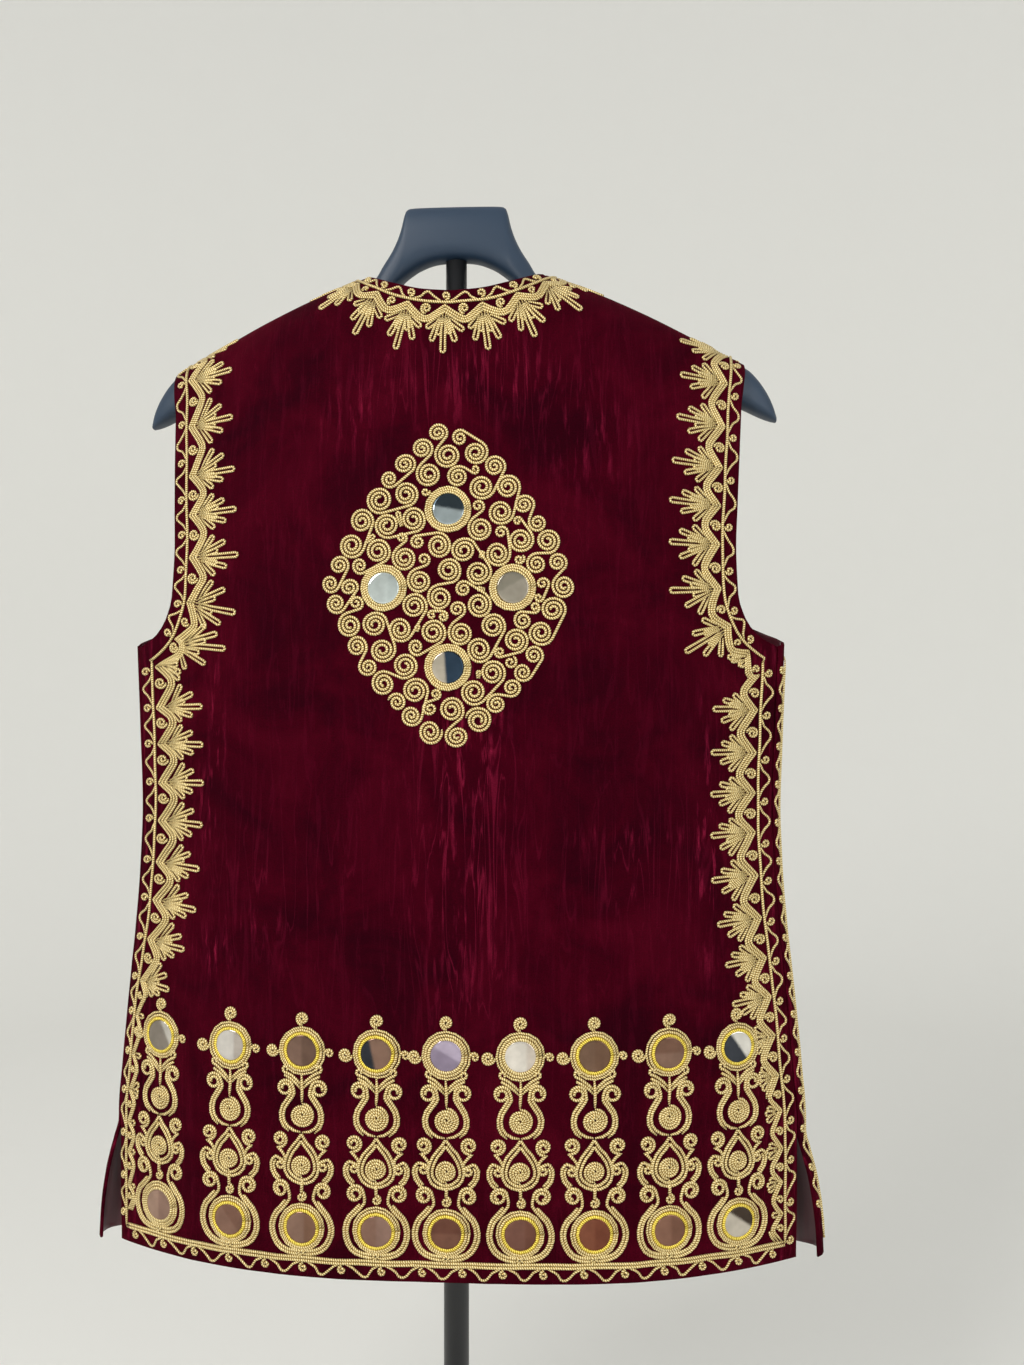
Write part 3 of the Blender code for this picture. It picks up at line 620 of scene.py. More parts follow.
    def ridge_flat(self, face: Face, s: Array) -> Array:
        """Give the flat height of the shoulder seam.

        Args:
            face: Back or front.
            s: Distances from the centre line.

        Returns:
            A flat height for each distance.
        """
        s = np.abs(np.atleast_1d(s)).astype(float)
        ridge = smooth(self.shoulder, s)
        for _ in range(3):
            x, _, length = self.sections(face, ridge)
            ridge = smooth(self.shoulder, self.at_length(length, s, x)[0])
        return ridge + self.shoulder_round * (HALF_PI - 1)

    def edge_length(self, face: Face, side: Side, h: Array) -> Array:
        """Give the distance from the centre line to a panel's outer edge.

        Args:
            face: Back or front.
            side: Which edge.
            h: Flat heights.

        Returns:
            A distance for each height.
        """
        z = np.minimum(np.atleast_1d(h).astype(float), self.armhole_top)
        seam = self.seam_length(face, side, np.minimum(z, self.underarm_z))
        inset = smooth(self.armhole, z)
        if face == Face.FRONT:
            back, front = (self.seam_length(f, side, self.underarm_z) for f in Face)
            inset = inset + (front - back) * smooth(self.armhole, z, 2) + smooth(self.armhole, z, 3)
        return seam - np.where(z > self.underarm_z, inset, 0)

    def creased(self, face: Face, s: Array, h: Array) -> Array:
        """Give the outward shift of the cloth from its creases and its slow waver."""
        slow = 0.45 * np.sin(s / 37 + 1.3) * np.sin(h / 61 + 0.4) + 0.3 * np.sin(s / 71 - h / 43 + face)
        return slow + sum((c.height(s, h) for c in self.creases.get(face, [])), np.zeros_like(s))

    def _surface(self, face: Face, s: Array, h: Array) -> Array:
        """Place plain, uncreased cloth at flat places.

        Args:
            face: Back or front.
            s: Flat places round the body.
            h: Flat heights.

        Returns:
            A point for each.
        """
        z = np.minimum(h, smooth(self.shoulder, np.abs(s)))
        radius = self.shoulder_round
        for _ in range(3):
            x, y, length = self.sections(face, z)
            x, y = self.at_length(length, np.abs(s), x, y)
            ridge = smooth(self.shoulder, x)
            bend = np.minimum((ridge - radius + radius * HALF_PI - h) / radius, HALF_PI)
            z = np.where(bend < HALF_PI, ridge - radius * (1 - np.cos(bend)), h)
        middle = self.hanger_line(x)
        return np.stack([np.sign(s) * x, middle + (y - middle) * np.sin(bend), z], axis=1)

    def _lattice(self, face: Face) -> tuple[Array, Array]:
        """Work out plain points and normals on an even lattice over half a panel, once.

        Args:
            face: Back or front.

        Returns:
            The points and the outward normals.
        """
        if face not in self.lattices:
            s = np.arange(-2, 103) * self.cell
            h = np.arange(-1, 256) * self.cell + self.hem_z
            grid_s, grid_h = (g.ravel() for g in np.meshgrid(s, h, indexing="ij"))
            grid_s = np.where(np.abs(grid_s) < 1e-6, 1e-6, grid_s)
            parts = [self._surface(face, grid_s[k:k + 4000], grid_h[k:k + 4000])
                     for k in range(0, len(grid_s), 4000)]
            points = np.vstack(parts).reshape(len(s), len(h), 3)
            normals = np.cross(np.gradient(points, axis=0), np.gradient(points, axis=1)) * -face
            normals /= np.linalg.norm(normals, axis=2)[..., None]
            self.lattices[face] = (points, normals)
        return self.lattices[face]

    def place(self, face: Face, s: Array, h: Array) -> tuple[Array, Array]:
        """Map flat places to space.

        Args:
            face: Back or front.
            s: Flat places round the body, any shape.
            h: Flat heights, the same shape.

        Returns:
            Points on the cloth's creased outer face, and its outward normals.
        """
        s, h = np.broadcast_arrays(np.asarray(s, float), np.asarray(h, float))
        points, normals = self._lattice(face)
        u = np.clip(np.abs(s) / self.cell + 2, 0, points.shape[0] - 1.001)
        v = np.clip((h - self.hem_z) / self.cell + 1, 0, points.shape[1] - 1.001)
        i, j = u.astype(int), v.astype(int)
        u, v = (u - i)[..., None], (v - j)[..., None]

        def read(lattice: Array) -> Array:
            """Read the lattice between its four nearest places.

            Args:
                lattice: The points or the normals.

            Returns:
                A point or normal for each place.
            """
            low = lattice[i, j] * (1 - u) + lattice[i + 1, j] * u
            high = lattice[i, j + 1] * (1 - u) + lattice[i + 1, j + 1] * u
            return low * (1 - v) + high * v

        point, normal = read(points), read(normals)
        normal /= np.linalg.norm(normal, axis=-1)[..., None]
        mirrored = np.where(s < 0, -1.0, 1.0)
        point[..., 0] *= mirrored
        normal[..., 0] *= mirrored
        return point + normal * self.creased(face, s, h)[..., None], normal


EVEN_SPREAD = ((0, 1.0), (2000, 1.0))


class GarmentEdge:
    """An edge of a panel in flat places, walked by length, with its direction into the panel."""

    def __init__(self, face: Face, s: Array, h: Array, inward: float, spread: Rows = EVEN_SPREAD) -> None:
        """Measure the edge.

        Args:
            face: The panel's face.
            s: Flat places along the edge, round the body.
            h: Their heights.
            inward: +1 where the panel is on the left of the walk, -1 on the right.
            spread: How much wider than drawn the work on it is, by flat height.
        """
        self.face = face
        self.places = np.stack([s, h], axis=1)
        self.spread = smooth(np.array(spread, float), h)
        self.length = np.concatenate([[0], np.cumsum(np.hypot(*np.diff(self.places, axis=0).T))])
        self.total = float(self.length[-1])
        tangent = np.gradient(self.places, self.length, axis=0)
        tangent /= np.linalg.norm(tangent, axis=1)[:, None]
        self.ends = tangent[0], tangent[-1]
        self.normal = inward * np.stack([-tangent[:, 1], tangent[:, 0]], axis=1)

    def spread_at(self, along: Array | float) -> Array:
        """Give how much wider than drawn the work is at distances along the edge."""
        return np.interp(along, self.length, self.spread)

    def at(self, along: Array | float, depth: Array | float) -> Array:
        """Give flat places by the edge, which goes on straight beyond its ends.

        Args:
            along: Distances along the edge.
            depth: Depths into the panel.

        Returns:
            A flat place for each.
        """
        along, depth = np.broadcast_arrays(np.asarray(along, float), np.asarray(depth, float))
        before, after = np.minimum(along, 0), np.maximum(along - self.total, 0)
        place = [np.interp(along, self.length, self.places[:, k]) + before * self.ends[0][k]
                 + after * self.ends[1][k] for k in (0, 1)]
        normal = [np.interp(along, self.length, self.normal[:, k]) for k in (0, 1)]
        reach = depth * self.spread_at(along) / np.hypot(*normal)
        return np.stack([place[k] + normal[k] * reach for k in (0, 1)], axis=-1)


# ---------- couched cord
def spline(*points: tuple[float, float]) -> Path:
    """Draw a smooth flat line through points.

    Args:
        points: Flat places to pass through.

    Returns:
        Flat places along the line, half a millimetre apart.
    """
    p = np.asarray(points, float)
    p = np.vstack([2 * p[0] - p[1], p, 2 * p[-1] - p[-2]])
    drawn = []
    for a, b, c, d in zip(p, p[1:], p[2:], p[3:]):
        count = max(2, int(np.hypot(*(c - b)) / 0.5))
        t = np.linspace(0, 1, count, endpoint=False)[:, None]
        drawn.append(0.5 * (2 * b + (c - a) * t + (2 * a - 5 * b + 4 * c - d) * t**2
                            + (3 * b - a - 3 * c + d) * t**3))
    return np.vstack([*drawn, p[-2][None]])


def coil(centre: Sequence[float], radius: float, turns: float, start: float, way: int,
         pitch: float = 2.5) -> Path:
    """Draw a spiral from its outer end inwards.

    Args:
        centre: Its middle, flat.
        radius: To the outside of the cord.
        turns: How many turns; held back where the middle is reached.
        start: Angle of the outer end, in degrees.
        way: +1 to wind anticlockwise, -1 clockwise.
        pitch: Distance from turn to turn.

    Returns:
        Flat places along the spiral.
    """
    smallest = 0.45           # radius of the innermost bend
    outer = radius - CORD_WIDTH / 2 + pitch / 4
    turns = min(turns, (outer - smallest) / pitch)
    t = np.linspace(0, turns, max(8, int(turns * 30)))
    angle = math.radians(start) + way * 2 * math.pi * t
    shift = -pitch / 4        # evens the spiral out about its middle
    return circle(centre, outer - pitch * t, angle) + shift * circle((0, 0), 1, angle[0])


def circle(centre: Sequence[float], radius: Array | float, angle: Array | float) -> Path:
    """Give the flat places at angles and a radius round a middle."""
    return np.stack([centre[0] + radius * np.cos(angle), centre[1] + radius * np.sin(angle)], axis=-1)


def ring(centre: Sequence[float], radius: float) -> Path:
    """Draw a closed circle with its centreline at a radius, its ends just overlapping."""
    return circle(centre, radius, np.linspace(0, 2 * math.pi + 0.06, 49))


def hairpin(root: Array, tip: Array, narrow: float = 1.0, wide: float = 1.5) -> Path:
    """Draw a narrow loop that leaves its root, rounds its tip and comes back.

    Args:
        root: Flat place of the root.
        tip: Flat place of the cord's outside at the tip.
        narrow: Half the distance between the two legs' centrelines at the root.
        wide: The same near the tip.

    Returns:
        Flat places along the loop.
    """
    run = tip - root
    length = np.hypot(*run)
    run /= length
    left = np.array([-run[1], run[0]])
    end = length - CORD_WIDTH / 2
    legs = [(0.0, narrow), (0.5 * (end - wide), 0.5 * (narrow + wide)), (end - wide, wide)]
    turn = np.linspace(0, math.pi, 9)[1:-1]
    shape = legs + [(end - wide + wide * math.sin(t), wide * math.cos(t)) for t in turn]
    shape += [(a, -o) for a, o in reversed(legs)]
    return np.array([root + a * run + o * left for a, o in shape])


def offset(path: Path, distance: float) -> Path:
    """Move a flat line sideways.

    Args:
        path: The line.
        distance: How far to its left.

    Returns:
        The moved line.
    """
    tangent = np.gradient(path, axis=0)
    tangent /= np.maximum(np.linalg.norm(tangent, axis=1), 1e-9)[:, None]
    return path + distance * np.stack([-tangent[:, 1], tangent[:, 0]], axis=1)


def dense(path: Path, spacing: float = 1.2) -> Path:
    """Add places along a bent line.

    Args:
        path: The line.
        spacing: About the most that its places may lie apart.

    Returns:
        The same line with more places.
    """
    drawn = [path[:1]]
    for a, b in zip(path, path[1:]):
        count = max(1, int(np.hypot(*(b - a)) / spacing))
        drawn.append(a + (b - a) * (np.arange(1, count + 1) / count)[:, None])
    return np.vstack(drawn)


@dataclass
class Stroke:
    """One length of cord, laid flat: its path, half width and how high it rides."""

    path: Path
    half: float
    rise: float


class CordWork:
    """Lays strokes of cord on a panel and joins them into one mesh."""

    turn_step = math.radians(24)
    longest = 4.5
    seam_clear = 1.7
    end_share = 0.55
    bed = 0.3                # from the cloth to the cord's middle, on average
    flatness = 0.92          # of the cord's height to its width
    waver = 0.22
    section = np.radians([205, 158, 112, 68, 22, -25])

    def __init__(self, cloth: ClothForm, face: Face) -> None:
        """Start an empty piece of work.

        Args:
            cloth: The form to lie on.
            face: Which face of it.
        """
        self.cloth = cloth
        self.face = face
        self.strokes: list[Stroke] = []
        self.seam_s = np.arange(40.0, 320.0, 4.0)
        self.seam_h = cloth.ridge_flat(face, self.seam_s) - self.seam_clear

    def lay(self, path: Path, half: float = CORD_WIDTH / 2, rise: float = 0.0) -> None:
        """Add a length of cord.

        Args:
            path: Flat line to follow.
            half: Half of the cord's width.
            rise: How much higher than other cord it rides.
        """
        if len(path) > 2:
            self.strokes.append(Stroke(np.asarray(path, float), half, rise))

    @classmethod
    def _thinned(cls, path: Path) -> Path:
        """Keep the places that a bent line needs, by how much it has turned and run.

        Args:
            path: The line.

        Returns:
            The same line with fewer places.
        """
        path = path[np.concatenate([[True], np.hypot(*np.diff(path, axis=0).T) > 1e-4])]
        moves = np.diff(path, axis=0)
        size = np.hypot(*moves.T)
        heading = np.unwrap(np.arctan2(moves[:, 1], moves[:, 0]))
        kept, turned, gone = [0], 0.0, 0.0
        for k in range(1, len(path) - 1):
            turned += abs(heading[k] - heading[k - 1])
            gone += size[k - 1]
            if turned >= cls.turn_step or gone >= cls.longest:
                kept.append(k)
                turned = gone = 0.0
        return path[kept + [len(path) - 1]]

    def _cut(self, stroke: Stroke) -> list[Stroke]:
        """Thin a stroke's places, and leave out what would cross the shoulder seam.

        Args:
            stroke: The stroke.

        Returns:
            The parts of it that are kept.
        """
        path = self._thinned(stroke.path)
        kept = path[:, 1] < np.interp(np.abs(path[:, 0]), self.seam_s, self.seam_h)
        ends = np.flatnonzero(np.diff(np.concatenate([[False], kept, [False]]).astype(int)))
        return [Stroke(path[a:b], stroke.half, stroke.rise)
                for a, b in zip(ends[::2], ends[1::2]) if b - a > 2]

    def make(self, name: str, finish: Material) -> Piece:
        """Join the strokes into one mesh.

        Args:
            name: Name of the piece.
            finish: The cord's material.

        Returns:
            The piece.
        """
        strokes = [part for stroke in self.strokes for part in self._cut(stroke)]
        flat = np.vstack([stroke.path for stroke in strokes])
        s, h = flat.T
        waves = [np.sin(s / 5.3 + h / 7.1), np.sin(h / 4.7 - s / 6.3 + 1.0)]
        flat = flat + self.waver * np.stack(waves, axis=1)
        points, normals = self.cloth.place(self.face, flat[:, 0], flat[:, 1])
        size = len(self.section)
        blocks, faces, lays, start, first = [], [], [], 0, 0
        for stroke in strokes:
            count = len(stroke.path)
            p, n = points[start:start + count], normals[start:start + count]
            start += count
            along = np.gradient(p, axis=0)
            along /= np.maximum(np.linalg.norm(along, axis=1), 1e-9)[:, None]
            side = np.cross(n, along)
            side /= np.linalg.norm(side, axis=1)[:, None]
            run = np.concatenate([[0], np.cumsum(np.linalg.norm(np.diff(p, axis=0), axis=1))]) * MM
            width = np.full((count, 1), stroke.half)
            if np.linalg.norm(p[0] - p[-1]) > 1.0:
                width[[0, -1]] *= self.end_share
            lift = stroke.rise + self.bed + width * self.flatness * np.sin(self.section)
            blocks.append((p[:, None] + side[:, None] * (width * np.cos(self.section))[..., None]
                           + n[:, None] * lift[..., None]).reshape(-1, 3))
            a = first + (np.arange(count - 1)[:, None] * size + np.arange(size - 1)).ravel()
            faces += np.stack([a, a + size, a + 1 + size, a + 1], axis=1).tolist()
            round_it = np.arange(size - 1) / (size - 1)
            u0, v0 = (g.ravel() for g in np.meshgrid(run[:-1], round_it, indexing="ij"))
            u1, v1 = np.repeat(run[1:], size - 1), v0 + 1 / (size - 1)
            lays.append(np.stack([u0, v0, u1, v0, u1, v1, u0, v1], axis=1).reshape(-1, 2))
            last = first + (count - 1) * size
            faces += [list(range(first, first + size)), list(range(last + size - 1, last - 1, -1))]
            lays.append(np.zeros((2 * size, 2)))
            first += count * size
        made = new_object(name, np.vstack(blocks), faces, finish)
        made.data.uv_layers.new(name="lay").data.foreach_set("uv", np.vstack(lays).ravel())
        return made


# ---------- borders
LONE = ((0, 1, 0, 0),)


class Rank(Enum):
    """Kind of palmette, by its loops.

    A loop's row says where its tip and its root lie: across half the gap, up the reach, then along and
    in from the palmette's own root.
    """

    FULL = (3, 0.0, 4.5, LONE + ((0.54, 0.64, 1.2, 1.6), (0.9, 0.24, 2.9, 4.0), (0.26, 0.38, 0.8, 3.4)))
    CORNER = (3, 3.6, 4.5, LONE + ((0.56, 0.62, 1.2, 1.6), (0.27, 0.36, 0.8, 3.4)))
    EVEN = (3, 4.4, 4.4, LONE + ((0.33, 0.86, 0.9, 1.2), (0.66, 0.42, 2.0, 2.8)))
    THREE = (2, 3.0, 3.7, LONE + ((0.42, 0.6, 1.0, 1.4),))
    LONG = (2, 2.0, 3.3, LONE)
    SMALL = (2, 0.2, 3.3, LONE)
    BARE = (3, 0.0, 4.0, ())

    def __init__(self, waves: int, beyond: float, scroll: float, loops: Rows) -> None:
        """Name the parts of a kind.

        Args:
            waves: How many wave cords run beside it.
            beyond: How far its tips pass the waves, or 0 to reach as far as the border does.
            scroll: Radius of the coils beside it.
            loops: Its loops.
        """
        self.waves, self.beyond, self.scroll, self.loops = waves, beyond, scroll, loops


@dataclass(frozen=True)
class BorderCut:
    """Sizes of a border of palmettes, across it from the garment's edge."""

    line: float = 9.6        # straight cord
    button: float = 3.5      # outer coils' radius
    reach: float = 41.8      # tips of the middle loops
    tooth: float = 2.6       # apex of the thin cord outside the line
    share: float = 0.5       # where the coils sit between palmettes


def bearing(way: Array) -> float:
    """Give the angle of a flat direction."""
    return math.atan2(way[1], way[0])


def half_turn(angle: float) -> float:
    """Bring an angle within half a turn of zero."""
    return (angle + math.pi) % (2 * math.pi) - math.pi


class PalmetteBorder:
    """A border: straight cord, buttons and teeth outside it, coils, waves and palmettes inside."""

    pitch = 1.78             # from one wave cord to the next
    half = 0.92              # of the waves' and loops' width
    coil_half = 0.94
    coil_pitch = 2.05
    tooth_half = 0.85
    clear = 1.15             # from a coil's outside to the first wave's middle

    def __init__(self, work: CordWork, edge: GarmentEdge, cut: BorderCut, seed: int) -> None:
        """Say where the border goes.

        Args:
            work: The cord work to add to.
            edge: The garment's edge.
            cut: The border's sizes.
            seed: For the small unevenness of hand work.
        """
        self.work, self.edge, self.cut = work, edge, cut
        self.chance = np.random.RandomState(seed)

    @staticmethod
    def scroll(gap: float, *beside: Rank) -> float:
        """Give the radius of a coil between palmettes this far apart."""
        return min(0.185 * gap, *(rank.scroll for rank in beside))

    def middle(self, scroll: float) -> float:
        """Give the depth of a coil's middle."""
        return self.cut.line + CORD_WIDTH / 2 + scroll + 0.2

    def arch(self, start: float, end: float, scroll: float, order: int) -> tuple[Path, float]:
        """Work out half a wave between a palmette's axis and the next coil.

        Args:
            start: The palmette's place along the edge.
            end: The coil's place.
            scroll: The coil's radius.
            order: 0 for the wave next to the coil, then outwards.

        Returns:
            Distances along and into the panel from the axis to the wave's crest, and the valley depth.
        """
        middle = self.middle(scroll)
        ends = self.edge.at(np.array([start, end]), middle)
        span = float(np.hypot(*(ends[1] - ends[0])))
        valley = middle - (self.cut.line + 2.1)
        near = scroll + self.clear
        lean = math.asin(min(0.98, near / math.hypot(span, valley))) + math.atan(valley / span)
        radius = near + self.pitch * order
        low = middle - (span * math.sin(lean) - radius) / math.cos(lean)
        along, depth = circle((span, middle), radius, np.linspace(HALF_PI + lean, HALF_PI, 9)).T
        foot = [low + 0.35, low + 0.42, low + 0.6 / along[0] * (depth[0] - low) + 0.1]
        along = start + np.concatenate([[0.0, 0.12, 0.6], along]) * (end - start) / span
        return np.stack([along, np.concatenate([foot, depth])], axis=1), low

    def _flat(self, path: Path) -> Path:
        """Turn distances along and into the panel to flat places, closely spaced."""
        return self.edge.at(*dense(path).T)

    def coil(self, along: float, depth: float, radius: float, turns: float, way: int) -> None:
        """Lay a coil, as wide as the border's spread makes it.

        Args:
            along: Place of its middle along the edge.
            depth: Depth of its middle.
            radius: To the outside of the cord.
            turns: How many.
            way: +1 to wind anticlockwise, -1 clockwise.
        """
        centre, foot = self.edge.at(along, depth), self.edge.at(along, 0.0)
        inward = (centre - foot) / np.hypot(*(centre - foot))
        path = coil((0, 0), radius, turns, math.degrees(bearing(-inward)) + 180, way, self.coil_pitch)
        wider = float(self.edge.spread_at(along)) - 1
        self.work.lay(centre + path + wider * np.outer(path @ inward, inward), self.coil_half)

    def line(self, start: float, end: float, corner: Sequence[Array] = ()) -> None:
        """Lay the straight cord between two places along the edge, from a corner's flat place if given."""
        run = self.edge.at(np.append(np.arange(start, end, 1.5), end), self.cut.line)
        self.work.lay(np.vstack([*corner, run]), rise=0.25)

    def teeth(self, mids: Sequence[float]) -> None:
        """Lay the buttons and the thin teeth between them.

        Args:
            mids: The buttons' places along the edge.
        """
        line, tooth, button = self.cut.line, self.cut.tooth, self.cut.button
        for along in mids:
            self.coil(along, line - CORD_WIDTH / 2 - button + 0.3, button, 1.6, 1)
        for a, b in zip(mids, mids[1:]):
            span, drop = b - a, line - tooth
            middle = 0.5 + self.chance.uniform(-0.05, 0.05)
            self.work.lay(self._flat(spline((a + 2.4, line - 0.8), (a + 0.3 * span, line - 0.42 * drop),
                (a + (middle - 0.08) * span, tooth + 0.9), (a + (middle + 0.02) * span, tooth),
                (a + (middle + 0.11) * span, tooth + 1.1),
                (a + 0.74 * span, line - 0.36 * drop), (b - 2.4, line - 0.8))), self.tooth_half)

    def palmettes(self, mids: Sequence[float], ranks: Sequence[Rank], ends: tuple[bool, bool],
                  leans: tuple[float, float] = (0.0, 0.0)) -> None:
        """Lay the coils, the waves round them and the palmettes between.

        Args:
            mids: The palmettes' places along the edge, rising.
            ranks: Their kinds, or none where all are full.
            ends: Whether a half wave is added before the first and after the last.
            leans: How far the first and last palmettes' tips are moved along the edge.
        """
        ranks = ranks or [Rank.FULL] * len(mids)
        gaps = [(a + self.cut.share * (b - a), self.scroll(b - a, *pair))
                for a, b, pair in zip(mids, mids[1:], zip(ranks, ranks[1:]))]
        first, last = mids[1] - mids[0], mids[-1] - mids[-2]
        before = (mids[0] - first / 2, self.scroll(first, ranks[0], Rank.FULL)) if ends[0] else None
        after = (mids[-1] + last / 2, self.scroll(last, ranks[-1], Rank.FULL)) if ends[1] else None
        coils = [before, *gaps, after]
        for along, scroll in filter(None, coils):
            if 1.0 < along < self.edge.total - 1.0:
                self.coil(along, self.middle(scroll), scroll, 2.0, -1)
        beside = list(zip(mids, ranks, coils, coils[1:]))
        for order in range(3):
            drawn: list[Path] = []
            for mid, rank, left, right in beside:
                if order >= rank.waves:
                    self._finish_wave(drawn)
                    drawn = []
                    continue
                drawn += [self.arch(mid, *left, order)[0][::-1]] if left else []
                drawn += [self.arch(mid, *right, order)[0]] if right else []
            self._finish_wave(drawn)
        for mid, rank, left, right in beside:
            halves = [abs(place[0] - mid) for place in (left, right) if place]
            near = left or right
            low = self.arch(mid, *near, rank.waves - 1)[1]
            crest = self.middle(near[1]) + near[1] + self.clear + self.pitch * (rank.waves - 1) + self.half
            lean = leans[0] if mid == mids[0] else leans[1] if mid == mids[-1] else 0.0
            self._loops(mid, (halves[0], halves[-1]), low + 1.4, crest, rank, lean)

    def _loops(self, along: float, halves: tuple[float, float], root: float, crest: float, rank: Rank,
               lean: float) -> None:
        """Lay a palmette's loops.

        Args:
            along: The palmette's place on the edge.
            halves: Distances to the coils before and after it.
            root: Depth where the loops start.
            crest: Depth of the waves beside it.
            rank: Its kind.
            lean: How far its tips are moved along the edge.
        """
        beyond = rank.beyond or self.cut.reach - crest
        for across, up, shift, inner in rank.loops[::-1]:
            for way, half in zip((-1, 1), halves) if across else ((1, halves[1]),):
                jog, stretch = self.chance.uniform(-0.7, 0.7), self.chance.uniform(-0.9, 0.7)
                tip = self.edge.at(along + way * across * half + jog + lean * (0.4 + 0.6 * up),
                                   crest + up * beyond + stretch)
                loop = hairpin(self.edge.at(along + way * shift, root + inner), tip,
                               wide=1.5 if across else 1.62)
                self.work.lay(loop, self.half)

    def _finish_wave(self, drawn: list[Path]) -> None:
        """Lay a wave cord from the halves drawn so far."""
        if drawn:
            self.work.lay(self._flat(np.vstack(drawn)), self.half)

    def join(self, own: float, other: "PalmetteBorder", its: float, middle: Array, scroll: float) -> None:
        """Lay the coil at a corner and the waves round it, to another border's first palmette.

        Args:
            own: Place along this border's edge of its last palmette.
            other: The other border.
            its: Place along its edge of its first palmette.
            middle: Flat place of the coil.
            scroll: Its radius.
        """
        inward = bearing(middle - self.edge.at(self.edge.total, 0.0))
        self.work.lay(coil(middle, scroll, 2.0, math.degrees(inward), -1, self.coil_pitch), self.coil_half)
        for order in range(3):
            radius = scroll + self.clear + self.pitch * order
            ends, turns = [], []
            for border, along, way in ((self, own, -1), (other, its, 1)):
                low = border.arch(along, along + way * 12.0, 4.5, order)[1]
                ends.append(border.edge.at(along, low + 0.35))
                away = ends[-1] - middle
                swing = math.acos(min(1.0, radius / np.hypot(*away)))
                turns.append(min((half_turn(bearing(away) + s - inward) for s in (swing, -swing)), key=abs))
            arc = circle(middle, radius, inward + np.linspace(*turns, 9))
            self.work.lay(dense(np.vstack([ends[0], arc, ends[1]])), self.half)


@dataclass(frozen=True)
class BorderPlan:
    """A border by one edge: its sizes, its palmettes and buttons by length, its spread by height."""

    cut: BorderCut
    mids: Sequence[float]
    buttons: Sequence[float]
    ranks: Sequence[Rank] = ()
    spread: Rows = EVEN_SPREAD


